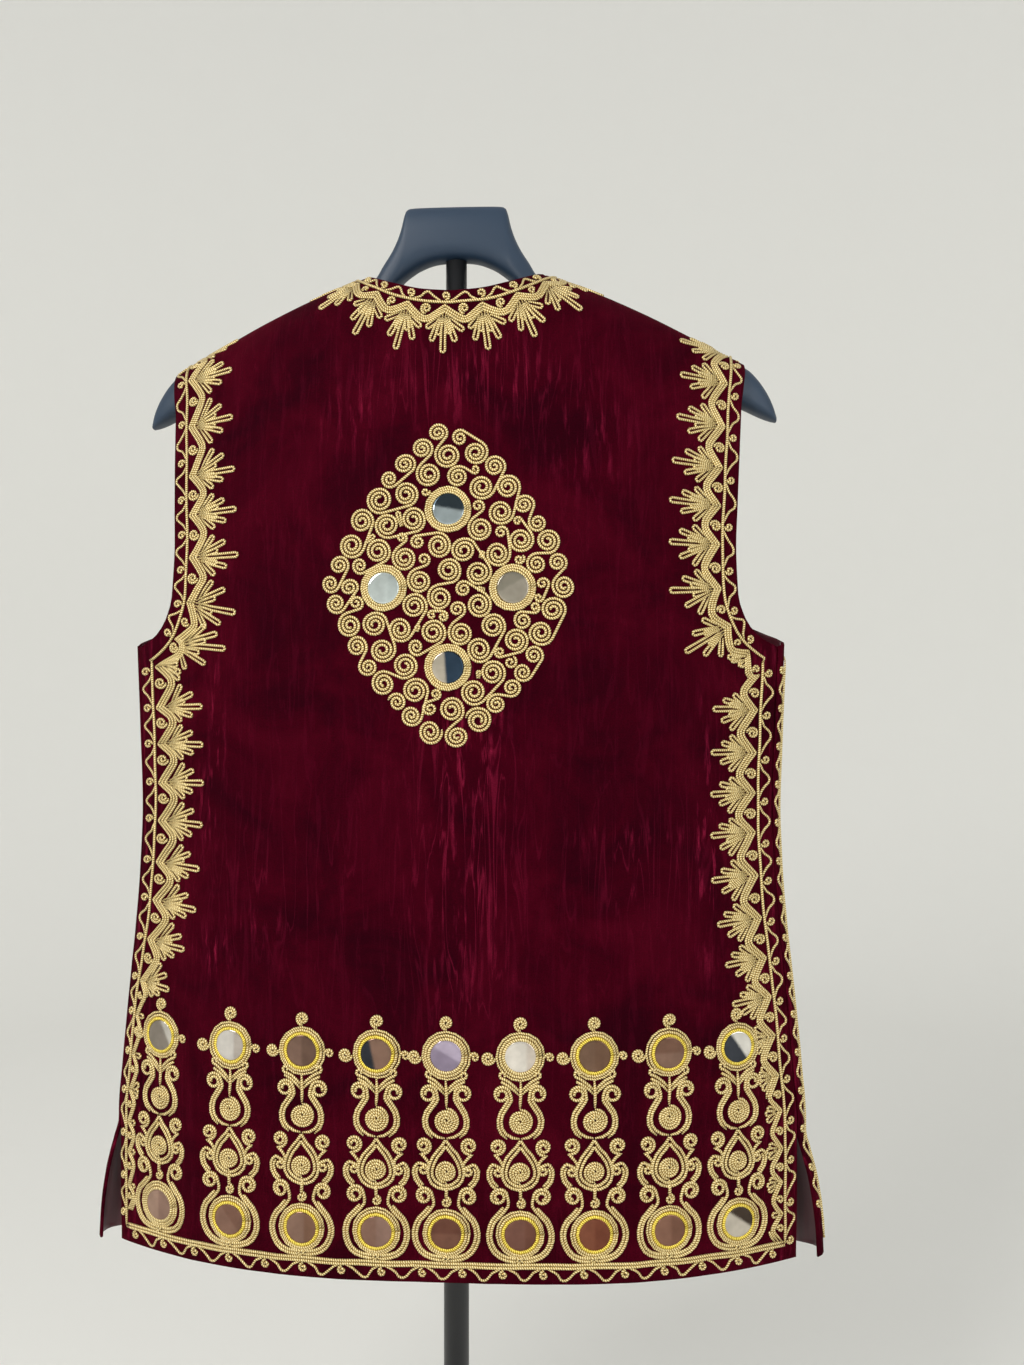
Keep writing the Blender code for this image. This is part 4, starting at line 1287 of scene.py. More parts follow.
@dataclass
class Borders:
    """Every border of the vest, each on its panel's edge; lengths run from the hem or the underarm up."""

    cloth: ClothForm
    finish: Material
    plain: BorderCut = BorderCut()
    hidden: BorderCut = BorderCut(line=18.0, reach=50.0, tooth=11.0)
    neck: BorderCut = BorderCut(line=9.2, reach=46.0)
    neck_mids: tuple[float, ...] = (-76, -62.5, -46.5, -26.5, -3.5, 19.5, 41, 58.5, 73.5)
    pitch: float = 26.5
    opening_pitch: float = 24.75
    # The work was laid wider where the sides fold away.
    sides: dict[Side, BorderPlan] = per(
        Side, BorderPlan(
            BorderCut(share=0.59),
            (23.5, 40.7, 64.7, 85.2, 109.6, 135.1, 163, 187.4, 217.5, 245.5, 272, 301, 326.6, 353.6, 379,
             408.5),
            (20, 46.4, 76.7, 107.5, 135.4, 164.1, 189, 217.5, 245.5, 272, 301, 326.6, 353.6, 379, 405),
            (Rank.BARE, *(Rank.SMALL,) * 3, Rank.THREE, *(Rank.LONG,) * 2, *(Rank.FULL,) * 8, Rank.CORNER),
            ((300, 0.76), (455, 0.76), (545, 1.34), (722, 1.45))),
        BorderPlan(
            BorderCut(line=10.8, reach=43.5, share=0.45),
            (14, 33, 54.7, 77.6, 104.8, 129.5, 156.8, 184, 210.8, 238.1, 266.7, 295.9, 322.1, 349.1,
             378.5, 402.4),
            (14, 40.4, 69.5, 96.7, 125.5, 153.4, 179.2, 206.9, 234.2, 262.1, 287.5, 316, 344.4, 375, 404),
            (Rank.BARE, Rank.SMALL, *(Rank.THREE,) * 3, *(Rank.EVEN,) * 2, *(Rank.FULL,) * 8, Rank.BARE),
            ((300, 1), (470, 1.02), (560, 1.2), (722, 1.2))))
    arms: dict[Side, BorderPlan] = per(
        Side,
        BorderPlan(BorderCut(line=11.2, reach=49, share=0.53), (29, 49, 77.5, 106, 134, 171, 208, 243),
                   (28, 47, 69, 93, 118, 145, 174, 206, 236), spread=((722, 1.2), (800, 1.12), (2000, 1.08))),
        BorderPlan(BorderCut(line=11.2, reach=50, share=0.46),
                   (18.5, 35, 55.5, 84, 110, 137, 167, 199.5, 232),
                   (22, 42, 67, 96.5, 129.6, 160.5, 191.5, 220), (Rank.CORNER, *(Rank.FULL,) * 8),
                   ((722, 1.05), (2000, 1))))
    corner_coil: tuple[float, float, float] = (10.5, 21.0, 3.4)
    hem: BorderCut = BorderCut(line=11.4, button=3.4, tooth=3.0)
    hem_pitch: float = 26.0

    def _border(self, edge: GarmentEdge, cut: BorderCut, seed: int) -> PalmetteBorder:
        """Start a border on an edge."""
        return PalmetteBorder(CordWork(self.cloth, edge.face), edge, cut, seed)

    def _edge(self, face: Face, side: Side, h: Array, spread: Rows) -> GarmentEdge:
        """Give the outer edge of a panel through the given heights."""
        return GarmentEdge(face, side * self.cloth.edge_length(face, side, h), h, side, spread)

    def _place(self, border: PalmetteBorder, node: str) -> None:
        """Join a border's cord into the piece that stands for its solid."""
        seat(border.work.make(f"cord_{node}", self.finish), "gold_cord", node)

    def _plans(self, face: Face, side: Side) -> tuple[BorderPlan, BorderPlan, Array, Array]:
        """Plan the borders beside a side seam and round the armhole above it.

        Args:
            face: Back or front.
            side: Which side.

        Returns:
            Both plans, and the flat heights that their edges pass through.
        """
        cloth = self.cloth
        low = np.linspace(cloth.hem_z, cloth.underarm_z, 80)
        top = cloth.ridge_flat(face, cloth.edge_length(face, side, cloth.armhole_top)) - cloth.seam_gap / 2
        high = np.concatenate([cloth.underarm_z + np.array([0, 0.8, 1.8, 3.5]), np.arange(728, 745, 3),
                               np.arange(748, cloth.armhole_top, 8), top])
        if face == Face.BACK:
            return self.sides[side], self.arms[side], low, high
        total = self._edge(face, side, low, EVEN_SPREAD).total
        arm_total = self._edge(face, side, high, EVEN_SPREAD).total
        mids = np.arange(total - 16.0, 22.0, -self.pitch)[::-1]
        arm_mids = np.arange(31.0, arm_total + 12.0, 29.0)
        return (BorderPlan(self.hidden if side == Side.LEFT else self.plain, mids, mids),
                BorderPlan(self.arms[side].cut, arm_mids, arm_mids), low, high)

    def lay_sides(self, face: Face, side: Side) -> None:
        """Lay the border beside a side seam and the one round the armhole above it.

        Args:
            face: Back or front.
            side: Which side.
        """
        plan, arm_plan, low, high = self._plans(face, side)
        edge = self._edge(face, side, low, plan.spread)
        arm_edge = self._edge(face, side, high, arm_plan.spread)
        cut, mids, arm_mids = plan.cut, plan.mids, arm_plan.mids
        tight = (face, side) == (Face.BACK, Side.RIGHT)
        border = self._border(edge, cut, seed=10 + 3 * face + side)
        border.line(self.hem.line + 1.0, edge.total - cut.line)
        border.teeth(plan.buttons)
        border.palmettes(mids, plan.ranks, (face == Face.FRONT, False), (0.0, 0.0 if tight else -5.0))
        round_arm = self._border(arm_edge, arm_plan.cut, seed=30 + 3 * face + side)
        seam = self.cloth.seam_length(face, side, self.cloth.underarm_z)[0]
        across = float(edge.spread_at(edge.total)) * cut.line
        corner = np.array([side * (seam - across), self.cloth.underarm_z - cut.line])
        round_arm.line(8.0, arm_edge.total - 0.8, [corner])
        round_arm.teeth(arm_plan.buttons)
        round_arm.palmettes(arm_mids, arm_plan.ranks, (False, False), (4.0 if tight else 8.0, 0.0))
        along, depth, scroll = self.corner_coil if tight else (arm_mids[0] - 3.0, 16.0, 4.5)
        border.join(mids[-1], round_arm, arm_mids[0], arm_edge.at(along, depth), scroll)
        word = f"{face.name}_{side.name}".lower()
        self._place(border, f"border_side_{word}")
        self._place(round_arm, f"border_armhole_{word}")

    def lay_neckline(self) -> None:
        """Lay the border of the back neckline, from the wearer's left to right."""
        x = self.cloth.neck_x
        s = np.array([*np.linspace(-x, -50, 12), *np.linspace(-44, 44, 17), *np.linspace(50, x, 12)])
        edge = GarmentEdge(Face.BACK, s, smooth(self.cloth.neckline, np.abs(s)), -1)
        border = self._border(edge, self.neck, seed=5)
        mids = edge.total / 2 + np.array(self.neck_mids)
        border.line(0.6, edge.total - 0.6)
        border.teeth(mids[1:-1])
        border.palmettes(mids, (), (False, False))
        self._place(border, "border_neck_back")

    def lay_opening(self, side: Side) -> None:
        """Lay the border of a front's neckline and opening, from the shoulder seam down to the hem.

        Args:
            side: Which front.
        """
        top = self.cloth.ridge_flat(Face.FRONT, self.cloth.neck_x)[0] - self.cloth.seam_gap / 2
        h = np.concatenate([np.linspace(top, 775, 40), np.linspace(760, self.cloth.hem_z, 30)])
        edge = GarmentEdge(Face.FRONT, side * smooth(self.cloth.front_line, h), h, side)
        border = self._border(edge, self.plain, seed=50 + side)
        mids = np.arange(edge.total - 30.0, 5.0, -self.opening_pitch)[::-1]
        border.line(0.6, edge.total - self.hem.line - 1.0)
        border.teeth(mids)
        border.palmettes(mids, (), (False, True))
        self._place(border, f"border_opening_{side.name.lower()}")

    def lay_hem(self, word: str, face: Face, start: float, end: float, way: int) -> None:
        """Lay the double cord, the buttons and the teeth along a hem.

        Args:
            word: The panel.
            face: Back or front.
            start: Where the hem's cord starts, round the body.
            end: Where it ends.
            way: +1 where the panel is on the left of the walk, -1 on the right.
        """
        s = np.linspace(start, end, 140)
        edge = GarmentEdge(face, s, np.full_like(s, self.cloth.hem_z), way)
        border = self._border(edge, self.hem, seed=70 + way + face)
        border.line(0.0, edge.total)
        border.work.lay(edge.at(np.arange(0, edge.total, 1.5), self.hem.line + 2.2), rise=0.2)
        count = round((edge.total - 20) / self.hem_pitch)
        border.teeth(np.linspace(9.0, edge.total - 9.0, count + 1))
        self._place(border, f"border_hem_{word}")

    def make(self) -> None:
        """Lay every border: the sides and armholes, the necklines and openings, then the hems."""
        for face in Face:
            for side in Side:
                self.lay_sides(face, side)
        self.lay_neckline()
        for side in Side:
            self.lay_opening(side)
        ends = [side * (self.cloth.edge_length(Face.BACK, side, self.cloth.hem_z)[0]
                        - self.sides[side].cut.line * self.sides[side].spread[0][1]) for side in Side]
        self.lay_hem("back", Face.BACK, *ends, 1)
        inner = float(smooth(self.cloth.front_line, self.cloth.hem_z)) + self.plain.line
        for side, cut in zip(Side, (self.hidden, self.plain)):
            outer = self.cloth.edge_length(Face.FRONT, side, self.cloth.hem_z)[0] - cut.line
            self.lay_hem(f"front_{side.name.lower()}", Face.FRONT, side * inner, side * outer, int(side))


# ---------- columns and medallion
@dataclass
class OrnamentColumn:
    """One upright ornament over the hem, between and round its two mirrors.

    Places in it are (across, down) from the middle of the upper mirror.
    """

    number: int                  # from the wearer's left
    s: float
    cloth: ClothForm
    upper_h: float = 451.0
    drop: float = 117.5          # from the upper mirror to the lower one
    inner_ring: float = 13.65
    outer_rings: tuple[float, float] = (15.7, 15.45)

    def __post_init__(self) -> None:
        """Start the column's cord and its own small unevenness."""
        self.work = CordWork(self.cloth, Face.BACK)
        self.chance = np.random.RandomState(200 + self.number)

    def _lay(self, path: Rows, way: int = 1, half: float = 1.0, rise: float = 0.0) -> None:
        """Lay cord through places in the column, mirrored for way -1."""
        p = np.asarray(path, float)
        self.work.lay(np.stack([self.s + way * p[:, 0], self.upper_h - p[:, 1]], axis=1), half, rise)

    def _rings(self) -> None:
        """Lay the cords round both mirrors."""
        for down, outer in zip((0.0, self.drop), self.outer_rings):
            middle = np.array([self.s, self.upper_h - down])
            self.work.lay(ring(middle, self.inner_ring), rise=0.15)
            self.work.lay(ring(middle + self.chance.uniform(-0.3, 0.3, 2), outer), 0.8)

    def _crown(self) -> None:
        """Lay the three buttons round the upper mirror and the curled arms beneath it."""
        wobble = self.chance.uniform(-0.5, 0.5, 6)
        self._lay(coil((wobble[0], -20.9), 5.0, 2.4, 90, 1, 1.95), half=0.98)
        self._lay(coil((-20.6, 1.0 + wobble[1]), 5.0, 2.4, 0, 1, 1.95), half=0.98)
        self._lay(coil((18.6, 1.0 + wobble[2]), 3.6, 1.6, 180, 1, 1.9), half=0.94)
        for way in (-1, 1):
            curl = coil((11.2, 12.6 + wobble[3 + (way > 0)]), 3.1, 0.95, 100, -1, 1.6)
            arm = spline((0.4, 23.2), (4, 19.4), (7.6, 16.4), curl[0])
            self._lay(np.vstack([arm[:-1], curl]), way, 1.05)
            self._lay(spline((0.6, 25.8), (4.4, 21.8), (9, 18.2), (12.6, 16.6)), way)
        self._lay(spline((0, 16.4), (0.3, 24.5), (0, 34.2)), half=1.1)

    def _upper_scrolls(self) -> None:
        """Lay the C scrolls that sweep down round the upper disc."""
        for way in (-1, 1):
            shift = self.chance.uniform(-0.5, 0.5, 2)
            curl = coil((11.2 + shift[0], 24.8 + shift[1]), 6.0, 1.5, -150, 1, 2.35)
            sweep = spline((0.6, 54.4), (6.8, 53), (12, 47.6), (12.3, 40), (8, 33), (5.5, 28.6), curl[0])
            self._lay(np.vstack([sweep[:-1], curl]), way, 1.1)
            self._lay(offset(sweep, 2.2)[14:-6], way, 1.05)
        self._lay(coil((0, 42.6), 8.7, 4, -90, 1, 1.98))

    def _teardrop(self) -> None:
        """Lay the pointed drop with a disc in it, and the small button on a stem below."""
        for size, top in ((1.0, 0.0), (0.79, 4.2)):
            wide, low = 12.2 * size - 0.1, 88.4 - (1 - size) * 10.5
            left = [(0, 55.6 + top), (-3.4, 60.6 + top), (-0.74 * wide, 67 + top * 0.5), (-wide, 77.4),
                    (-0.72 * wide, low - 3.2)]
            self._lay(spline(*left, (0, low), *((-x, y) for x, y in left[::-1])), half=1.08)
        self._lay(coil((0, 77.2), 7.6, 3.7, 90, 1, 1.95), half=0.98)
        self._lay(spline((0, 84), (0.2, 89.4), (0, 94.4)), half=1.15, rise=0.2)
        self._lay(coil((0, 96.6), 3.8, 1.6, -90, 1, 1.9), half=0.96)

    def _lower_scrolls(self) -> None:
        """Lay the S scrolls beside the drop, which flow into the pear round the lower mirror."""
        for way in (-1, 1):
            shift = self.chance.uniform(-0.5, 0.5, 4)
            top = coil((15.6 + shift[0], 60.4 + shift[1]), 5.9, 1.9, 70, 1, 2.3)
            tail = spline(top[0], (13.6, 68.4), (12, 70.6), (11.9, 73.6))
            self._lay(np.vstack([top[::-1], tail[1:]]), way, 1.08)
            small = coil((15.0, 75.6 + shift[2]), 3.9, 1.25, -95, -1, 2.0)
            bow = spline(small[0], (18.6, 71.6), (21.6, 75.8), (20.8, 82), (17.2, 86.6), (13.4, 88.2))
            self._lay(np.vstack([small[::-1], bow[1:]]), way, 1.1)
            self._lay(offset(bow, 2.1)[10:-4], way, 0.95)
            curl = coil((14.0 + shift[3], 92.6), 6.1, 1.7, -155, 1, 2.35)
            pear = spline((0, 133.2), (8, 132.8), (15.6, 129), (19.6, 120), (17.8, 110.8), (12.2, 104.4),
                          (8, 98.4), curl[0])
            self._lay(np.vstack([pear[:-1], curl]), way, 1.12)
            self._lay(offset(pear, 2.2)[:-22], way, 1.08)
        self._lay([(-6.5, 130.0), (0, 130.9), (6.5, 130.0)])
        self._lay(coil((0, 134.9), 2.9, 1.2, 90, 1, 1.7), half=0.95, rise=0.3)

    def make(self, finish: Material) -> None:
        """Lay the whole column and join it.

        Args:
            finish: The cord's material.
        """
        for part in (self._rings, self._crown, self._upper_scrolls, self._teardrop, self._lower_scrolls):
            part()
        piece = self.work.make(f"cord_column_{self.number}", finish)
        seat(piece, "gold_cord", f"ornament_column_{self.number}")


@dataclass
class Medallion:
    """The lozenge of coils between the shoulder blades: coils of many sizes, linked two by two."""

    h: float = 761.0
    half: tuple[float, float] = (83.0, 111.0)
    fullness: float = 1.34       # 1 would have straight sides, 2 would be an ellipse
    mirrors: tuple[tuple[float, float], ...] = ((0, 51), (-43, -1.5), (43, -1.5), (0, -54))
    rings: tuple[float, ...] = (11.5, 13.3, 14.9)
    ring_reach: float = 15.7
    rim_radii: tuple[float, float] = (6.3, 9.3)
    sizes: tuple[float, ...] = (8.8, 8.2, 7.6, 7, 6.4, 5.8, 5.2, 4.6, 4, 3.4)
    clear: float = 0.15
    longest_link: float = 2.6
    crossed: float = 0.45        # share of the links that cross over
    leaf_tries: int = 1500
    leaf_reach: tuple[float, float] = (2.3, 5.6)
    leaf_clear: float = 2.35
    seed: int = 11
    circles: list[tuple[float, float, float]] = field(default_factory=list)

    def _measure(self, x: float, y: float, inset: float) -> float:
        """Say how far out a place lies: 1 on the lozenge moved in by the inset, less inside it."""
        a, b = self.half[0] - inset, self.half[1] - inset * 1.12
        return abs(x / a) ** self.fullness + abs(y / b) ** self.fullness

    def _fits(self, x: float, y: float, r: float) -> bool:
        """Say whether a coil fits between those already placed and the mirrors."""
        return (all(math.hypot(x - a, y - b) >= r + c + self.clear * 0.98 for a, b, c in self.circles)
                and all(math.hypot(x - a, y - b) > self.ring_reach + r * 0.98 for a, b in self.mirrors))

    def _pack(self) -> None:
        """Walk coils round the rim, each touching the last, then nest ever smaller ones inside."""
        chance = np.random.RandomState(self.seed)
        angle = HALF_PI + 0.07
        while angle < HALF_PI + 2 * math.pi - 0.05:
            r = chance.uniform(*self.rim_radii)
            inset = r + chance.uniform(-2.2, 0.6)
            for _ in range(400):
                c, s = math.cos(angle), math.sin(angle)
                size = self._measure(c, s, inset) ** (-1 / self.fullness)
                if self._fits(size * c, size * s, r):
                    self.circles.append((size * c, size * s, r))
                    break
                angle += 0.004
            angle += 0.01
        for size in self.sizes:
            while self._nest(size, chance):
                pass

    def _nest(self, size: float, chance: np.random.RandomState) -> bool:
        """Place coils of a size so that each touches two others.

        Args:
            size: Their radius.
            chance: Decides their order.

        Returns:
            Whether any was placed.
        """
        others = self.circles + [(x, y, self.ring_reach - self.clear) for x, y in self.mirrors]
        spots = []
        for k, (x0, y0, r0) in enumerate(others):
            for x1, y1, r1 in others[k + 1:]:
                d = math.hypot(x1 - x0, y1 - y0)
                a, b = r0 + size + self.clear, r1 + size + self.clear
                if not abs(a - b) < d < a + b:
                    continue
                along = (a * a - b * b + d * d) / (2 * d)
                off = math.sqrt(max(0.0, a * a - along * along))
                ux, uy = (x1 - x0) / d, (y1 - y0) / d
                for way in (-1, 1):
                    spots.append((x0 + along * ux - way * off * uy, y0 + along * uy + way * off * ux))
        chance.shuffle(spots)
        placed = False
        for x, y in spots:
            if self._measure(x, y, size + 0.5) < 1 and self._fits(x, y, size):
                self.circles.append((x, y, size))
                placed = True
                if size > 4.0 and chance.uniform() < 0.35:
                    break
        return placed

    def _links(self) -> list[tuple[int, int | None]]:
        """Pair each coil with its nearest free neighbour, or with none where that is too far.

        Returns:
            Pairs of places in the list of coils.
        """
        free, pairs = set(range(len(self.circles))), []
        place = np.array(self.circles)
        for k in sorted(free, key=lambda i: (-round(place[i, 1] / 9), place[i, 0])):
            if k not in free:
                continue
            free.discard(k)
            gap = {j: math.hypot(*(place[k, :2] - place[j, :2])) - place[k, 2] - place[j, 2] for j in free}
            near = min(gap, key=gap.get) if gap else None
            if near is None or gap[near] > self.longest_link:
                near = None
            free.discard(near)
            pairs.append((k, near))
        return pairs

    @staticmethod
    def _wound(x: float, y: float, r: float, start: float, way: int) -> Path:
        """Draw one coil of the medallion, from its outer end inwards."""
        return coil((x, y), r, 2.6 if r > 6.4 else 2.1, math.degrees(start), way, 2.65 if r > 4.5 else 2.2)

    def _linked(self, first: tuple, second: tuple, crossing: bool) -> Path:
        """Draw two coils and the cord that runs straight from one to the other.

        Args:
            first: Place and radius of one.
            second: The same of the other.
            crossing: Whether the cord crosses the line between their middles.

        Returns:
            Flat places along all of it.
        """
        (x0, y0, r0), (x1, y1, r1) = first, second
        near, far = r0 - CORD_WIDTH / 2, r1 - CORD_WIDTH / 2
        share = (near + far if crossing else near - far) / math.hypot(x1 - x0, y1 - y0)
        leave = math.atan2(y1 - y0, x1 - x0) + math.acos(max(-1.0, min(1.0, share)))
        one = self._wound(*first, leave, 1)
        two = self._wound(*second, leave + math.pi if crossing else leave, 1 if crossing else -1)
        return np.vstack([one[::-1], two])

    def make(self, cloth: ClothForm, finish: Material) -> None:
        """Lay the medallion: the mirrors' rings, the coils and the small loops between them.

        Args:
            cloth: The form that it lies on.
            finish: The cord's material.
        """
        self._pack()
        chance = np.random.RandomState(self.seed + 1)
        work, paths = CordWork(cloth, Face.BACK), []
        for k, j in self._links():
            if j is None:
                outward = chance.uniform(0, 2 * math.pi)
                paths.append(self._wound(*self.circles[k], outward, 1 if k % 2 else -1))
            else:
                paths.append(self._linked(self.circles[k], self.circles[j], chance.uniform() < self.crossed))
        for middle in self.mirrors:
            for radius in self.rings:
                path = ring(np.array(middle) + chance.uniform(-0.15, 0.15, 2), radius)
                work.lay(path + (0, self.h), 0.95, 0.2)
        for path in paths:
            work.lay(path + (0, self.h), 1.02)
        used = np.vstack([*paths, *[ring(m, r) for m in self.mirrors for r in (11, 15.5)]])
        for _ in range(self.leaf_tries):
            x, y = (chance.uniform(-half, half) for half in self.half)
            if self._measure(x, y, 3.0) >= 1:
                continue
            lean, reach = chance.uniform(0, math.pi), chance.uniform(*self.leaf_reach)
            spots = circle((x, y), np.linspace(-reach, reach, 7), lean)
            if np.hypot(*(used[:, None] - spots[None]).transpose(2, 0, 1)).min() > self.leaf_clear:
                leaf = hairpin(spots[0], spots[-1], 0.4, 1.2)
                work.lay(leaf + (0, self.h), 0.9)
                used = np.vstack([used, leaf])
        seat(work.make("cord_medallion", finish), "gold_cord", "medallion")


PaintedReflections = tuple[tuple[str, str, float, float], ...]


@dataclass
class MirrorWork:
    """The round mirrors, held by cord, and the bright yellow cord round the columns' ones."""

    glass_radius: float = 10.5
    ring_radius: float = 11.45
    columns: tuple[float, ...] = (-209, -151, -98.5, -47.5, -1, 48, 97, 147.5, 197)
    # Painted reflection on each mirror: two colours, the angle between them and where they meet.
    upper_painted_reflections: PaintedReflections = (
        ("8f867c", "c9c4bb", 30, 0.5), ("cfcac4", "b3aaa2", 0, 0.3), ("7b6256", "6b5449", 0, 0.0),
        ("33363c", "84685a", 12, -0.25), ("94879c", "b7aabf", 60, 0.1), ("e3dcd2", "d2c6ba", 0, 0.4),
        ("7a6050", "735848", 0, 0.0), ("84685a", "77594b", 90, 0.0), ("3f4248", "d8d4cc", 35, 0.1))
    lower_painted_reflections: PaintedReflections = (
        ("a58878", "94776a", 0, 0.0), ("8a6a5c", "7d5d50", 40, 0.1), ("8b6e60", "80604f", 0, 0.2),
        ("8c6c5e", "94766a", 0, 0.0), ("7a5548", "6c483c", 90, 0.0), ("7c574c", "714c40", 0, 0.3),
        ("83513f", "784737", 0, 0.0), ("8a6656", "7d5a4b", 0, 0.1), ("c9c0b2", "4b4038", 55, 0.2))
    medallion_painted_reflections: PaintedReflections = (
        ("b9c6cc", "3d474f", 80, 0.05), ("e2ecec", "d3dede", 0, 0.3), ("b3ab9e", "9c9689", 120, 0.2),
        ("cdc3b3", "38495c", 4, -0.15))
    paler_rings: tuple[tuple[str, int], ...] = (("upper", 5), ("upper", 6), ("lower", 1))
    corners: int = 40
    edge: tuple[tuple[float, float], ...] = ((1.0, 0.5), (1.0, 1.05))     # share of radius, height
    crown: tuple[float, ...] = (0.94, 0.82, 0.7, 0.58, 0.46, 0.34, 0.22, 0.1)
    dome: tuple[float, float] = (1.25, 0.1)      # height at the rim, and how much more in the middle
    tilt: float = 0.012
    blur: float = 0.16           # where the two tones meet

    def _discs(self, cloth: ClothForm, row: str, places: Rows, painted_reflections: PaintedReflections, finish: Material) -> None:
        """Make a group of slightly domed glass discs.

        Args:
            cloth: The form that they lie on.
            row: Name of the group.
            places: Their flat middles.
            painted_reflections: Their colours, each a painted reflection.
            finish: The glass.
        """
        name = f"mirrors_{row}"
        turn = np.linspace(0, 2 * math.pi, self.corners, endpoint=False)
        low, more = self.dome
        profile = [*self.edge, *((share, low + more * (1 - share**2)) for share in self.crown)]
        chance = np.random.RandomState(len(name))
        points, faces, colours = [], [], []
        for (s, h), (near, far, lean, meet) in zip(places, painted_reflections):
            middle, out = cloth.place(Face.BACK, np.array([s]), np.array([h]))
            normal = out[0] + chance.uniform(-self.tilt, self.tilt, 3)
            normal /= np.linalg.norm(normal)
            across = np.cross(normal, (0, 0, 1))
            across /= -np.linalg.norm(across)
            upward = np.cross(normal, across)
            spoke = np.cos(turn)[:, None] * across + np.sin(turn)[:, None] * upward
            faces += stacked(len(profile), self.corners, len(points))
            for share, height in profile:
                points += list(middle[0] + spoke * self.glass_radius * share + normal * height)
                # Blend the painted reflection's two colours across the disc.
                side = share * np.cos(turn - math.radians(lean)) - meet
                mix = np.clip(0.5 + side / self.blur, 0, 1)[:, None]
                colours.append((1 - mix) * np.array(linear(near)) + mix * np.array(linear(far)))
        made = new_object(name, np.array(points), faces, finish)
        # Keep the painted reflection as a colour attribute.
        layer = made.data.color_attributes.new("tone", "FLOAT_COLOR", "POINT")
        layer.data.foreach_set("color", np.vstack(colours).ravel())
        seat(made, "mirror_glass", *(f"mirror_{row}_{k}" for k in range(1, len(painted_reflections) + 1)))

    def make(self, cloth: ClothForm, glass: Material, bright: Material, pale: Material) -> None:
        """Make the mirrors and the columns' bright rings.

        Args:
            cloth: The form that they lie on.
            glass: The mirrors' material.
            bright: The yellow cord of the rings.
            pale: The cord of the rings that have lost their colour.
        """
        rings = {"bright": CordWork(cloth, Face.BACK), "pale": CordWork(cloth, Face.BACK)}
        lower_h = OrnamentColumn.upper_h - OrnamentColumn.drop
        for row, h, painted_reflections in (("upper", OrnamentColumn.upper_h, self.upper_painted_reflections),
                              ("lower", lower_h, self.lower_painted_reflections)):
            self._discs(cloth, row, [(s, h) for s in self.columns], painted_reflections, glass)
            for k, s in enumerate(self.columns, 1):
                word = "pale" if (row, k) in self.paler_rings else "bright"
                rings[word].lay(ring((s, h), self.ring_radius), 1.2, 0.45)
        medallion = Medallion()
        self._discs(cloth, "medallion", [(x, medallion.h + y) for x, y in medallion.mirrors],
                    self.medallion_painted_reflections, glass)
        for word, finish in (("bright", bright), ("pale", pale)):
            seat(rings[word].make(f"mirror_rings_{word}", finish), "gold_cord")


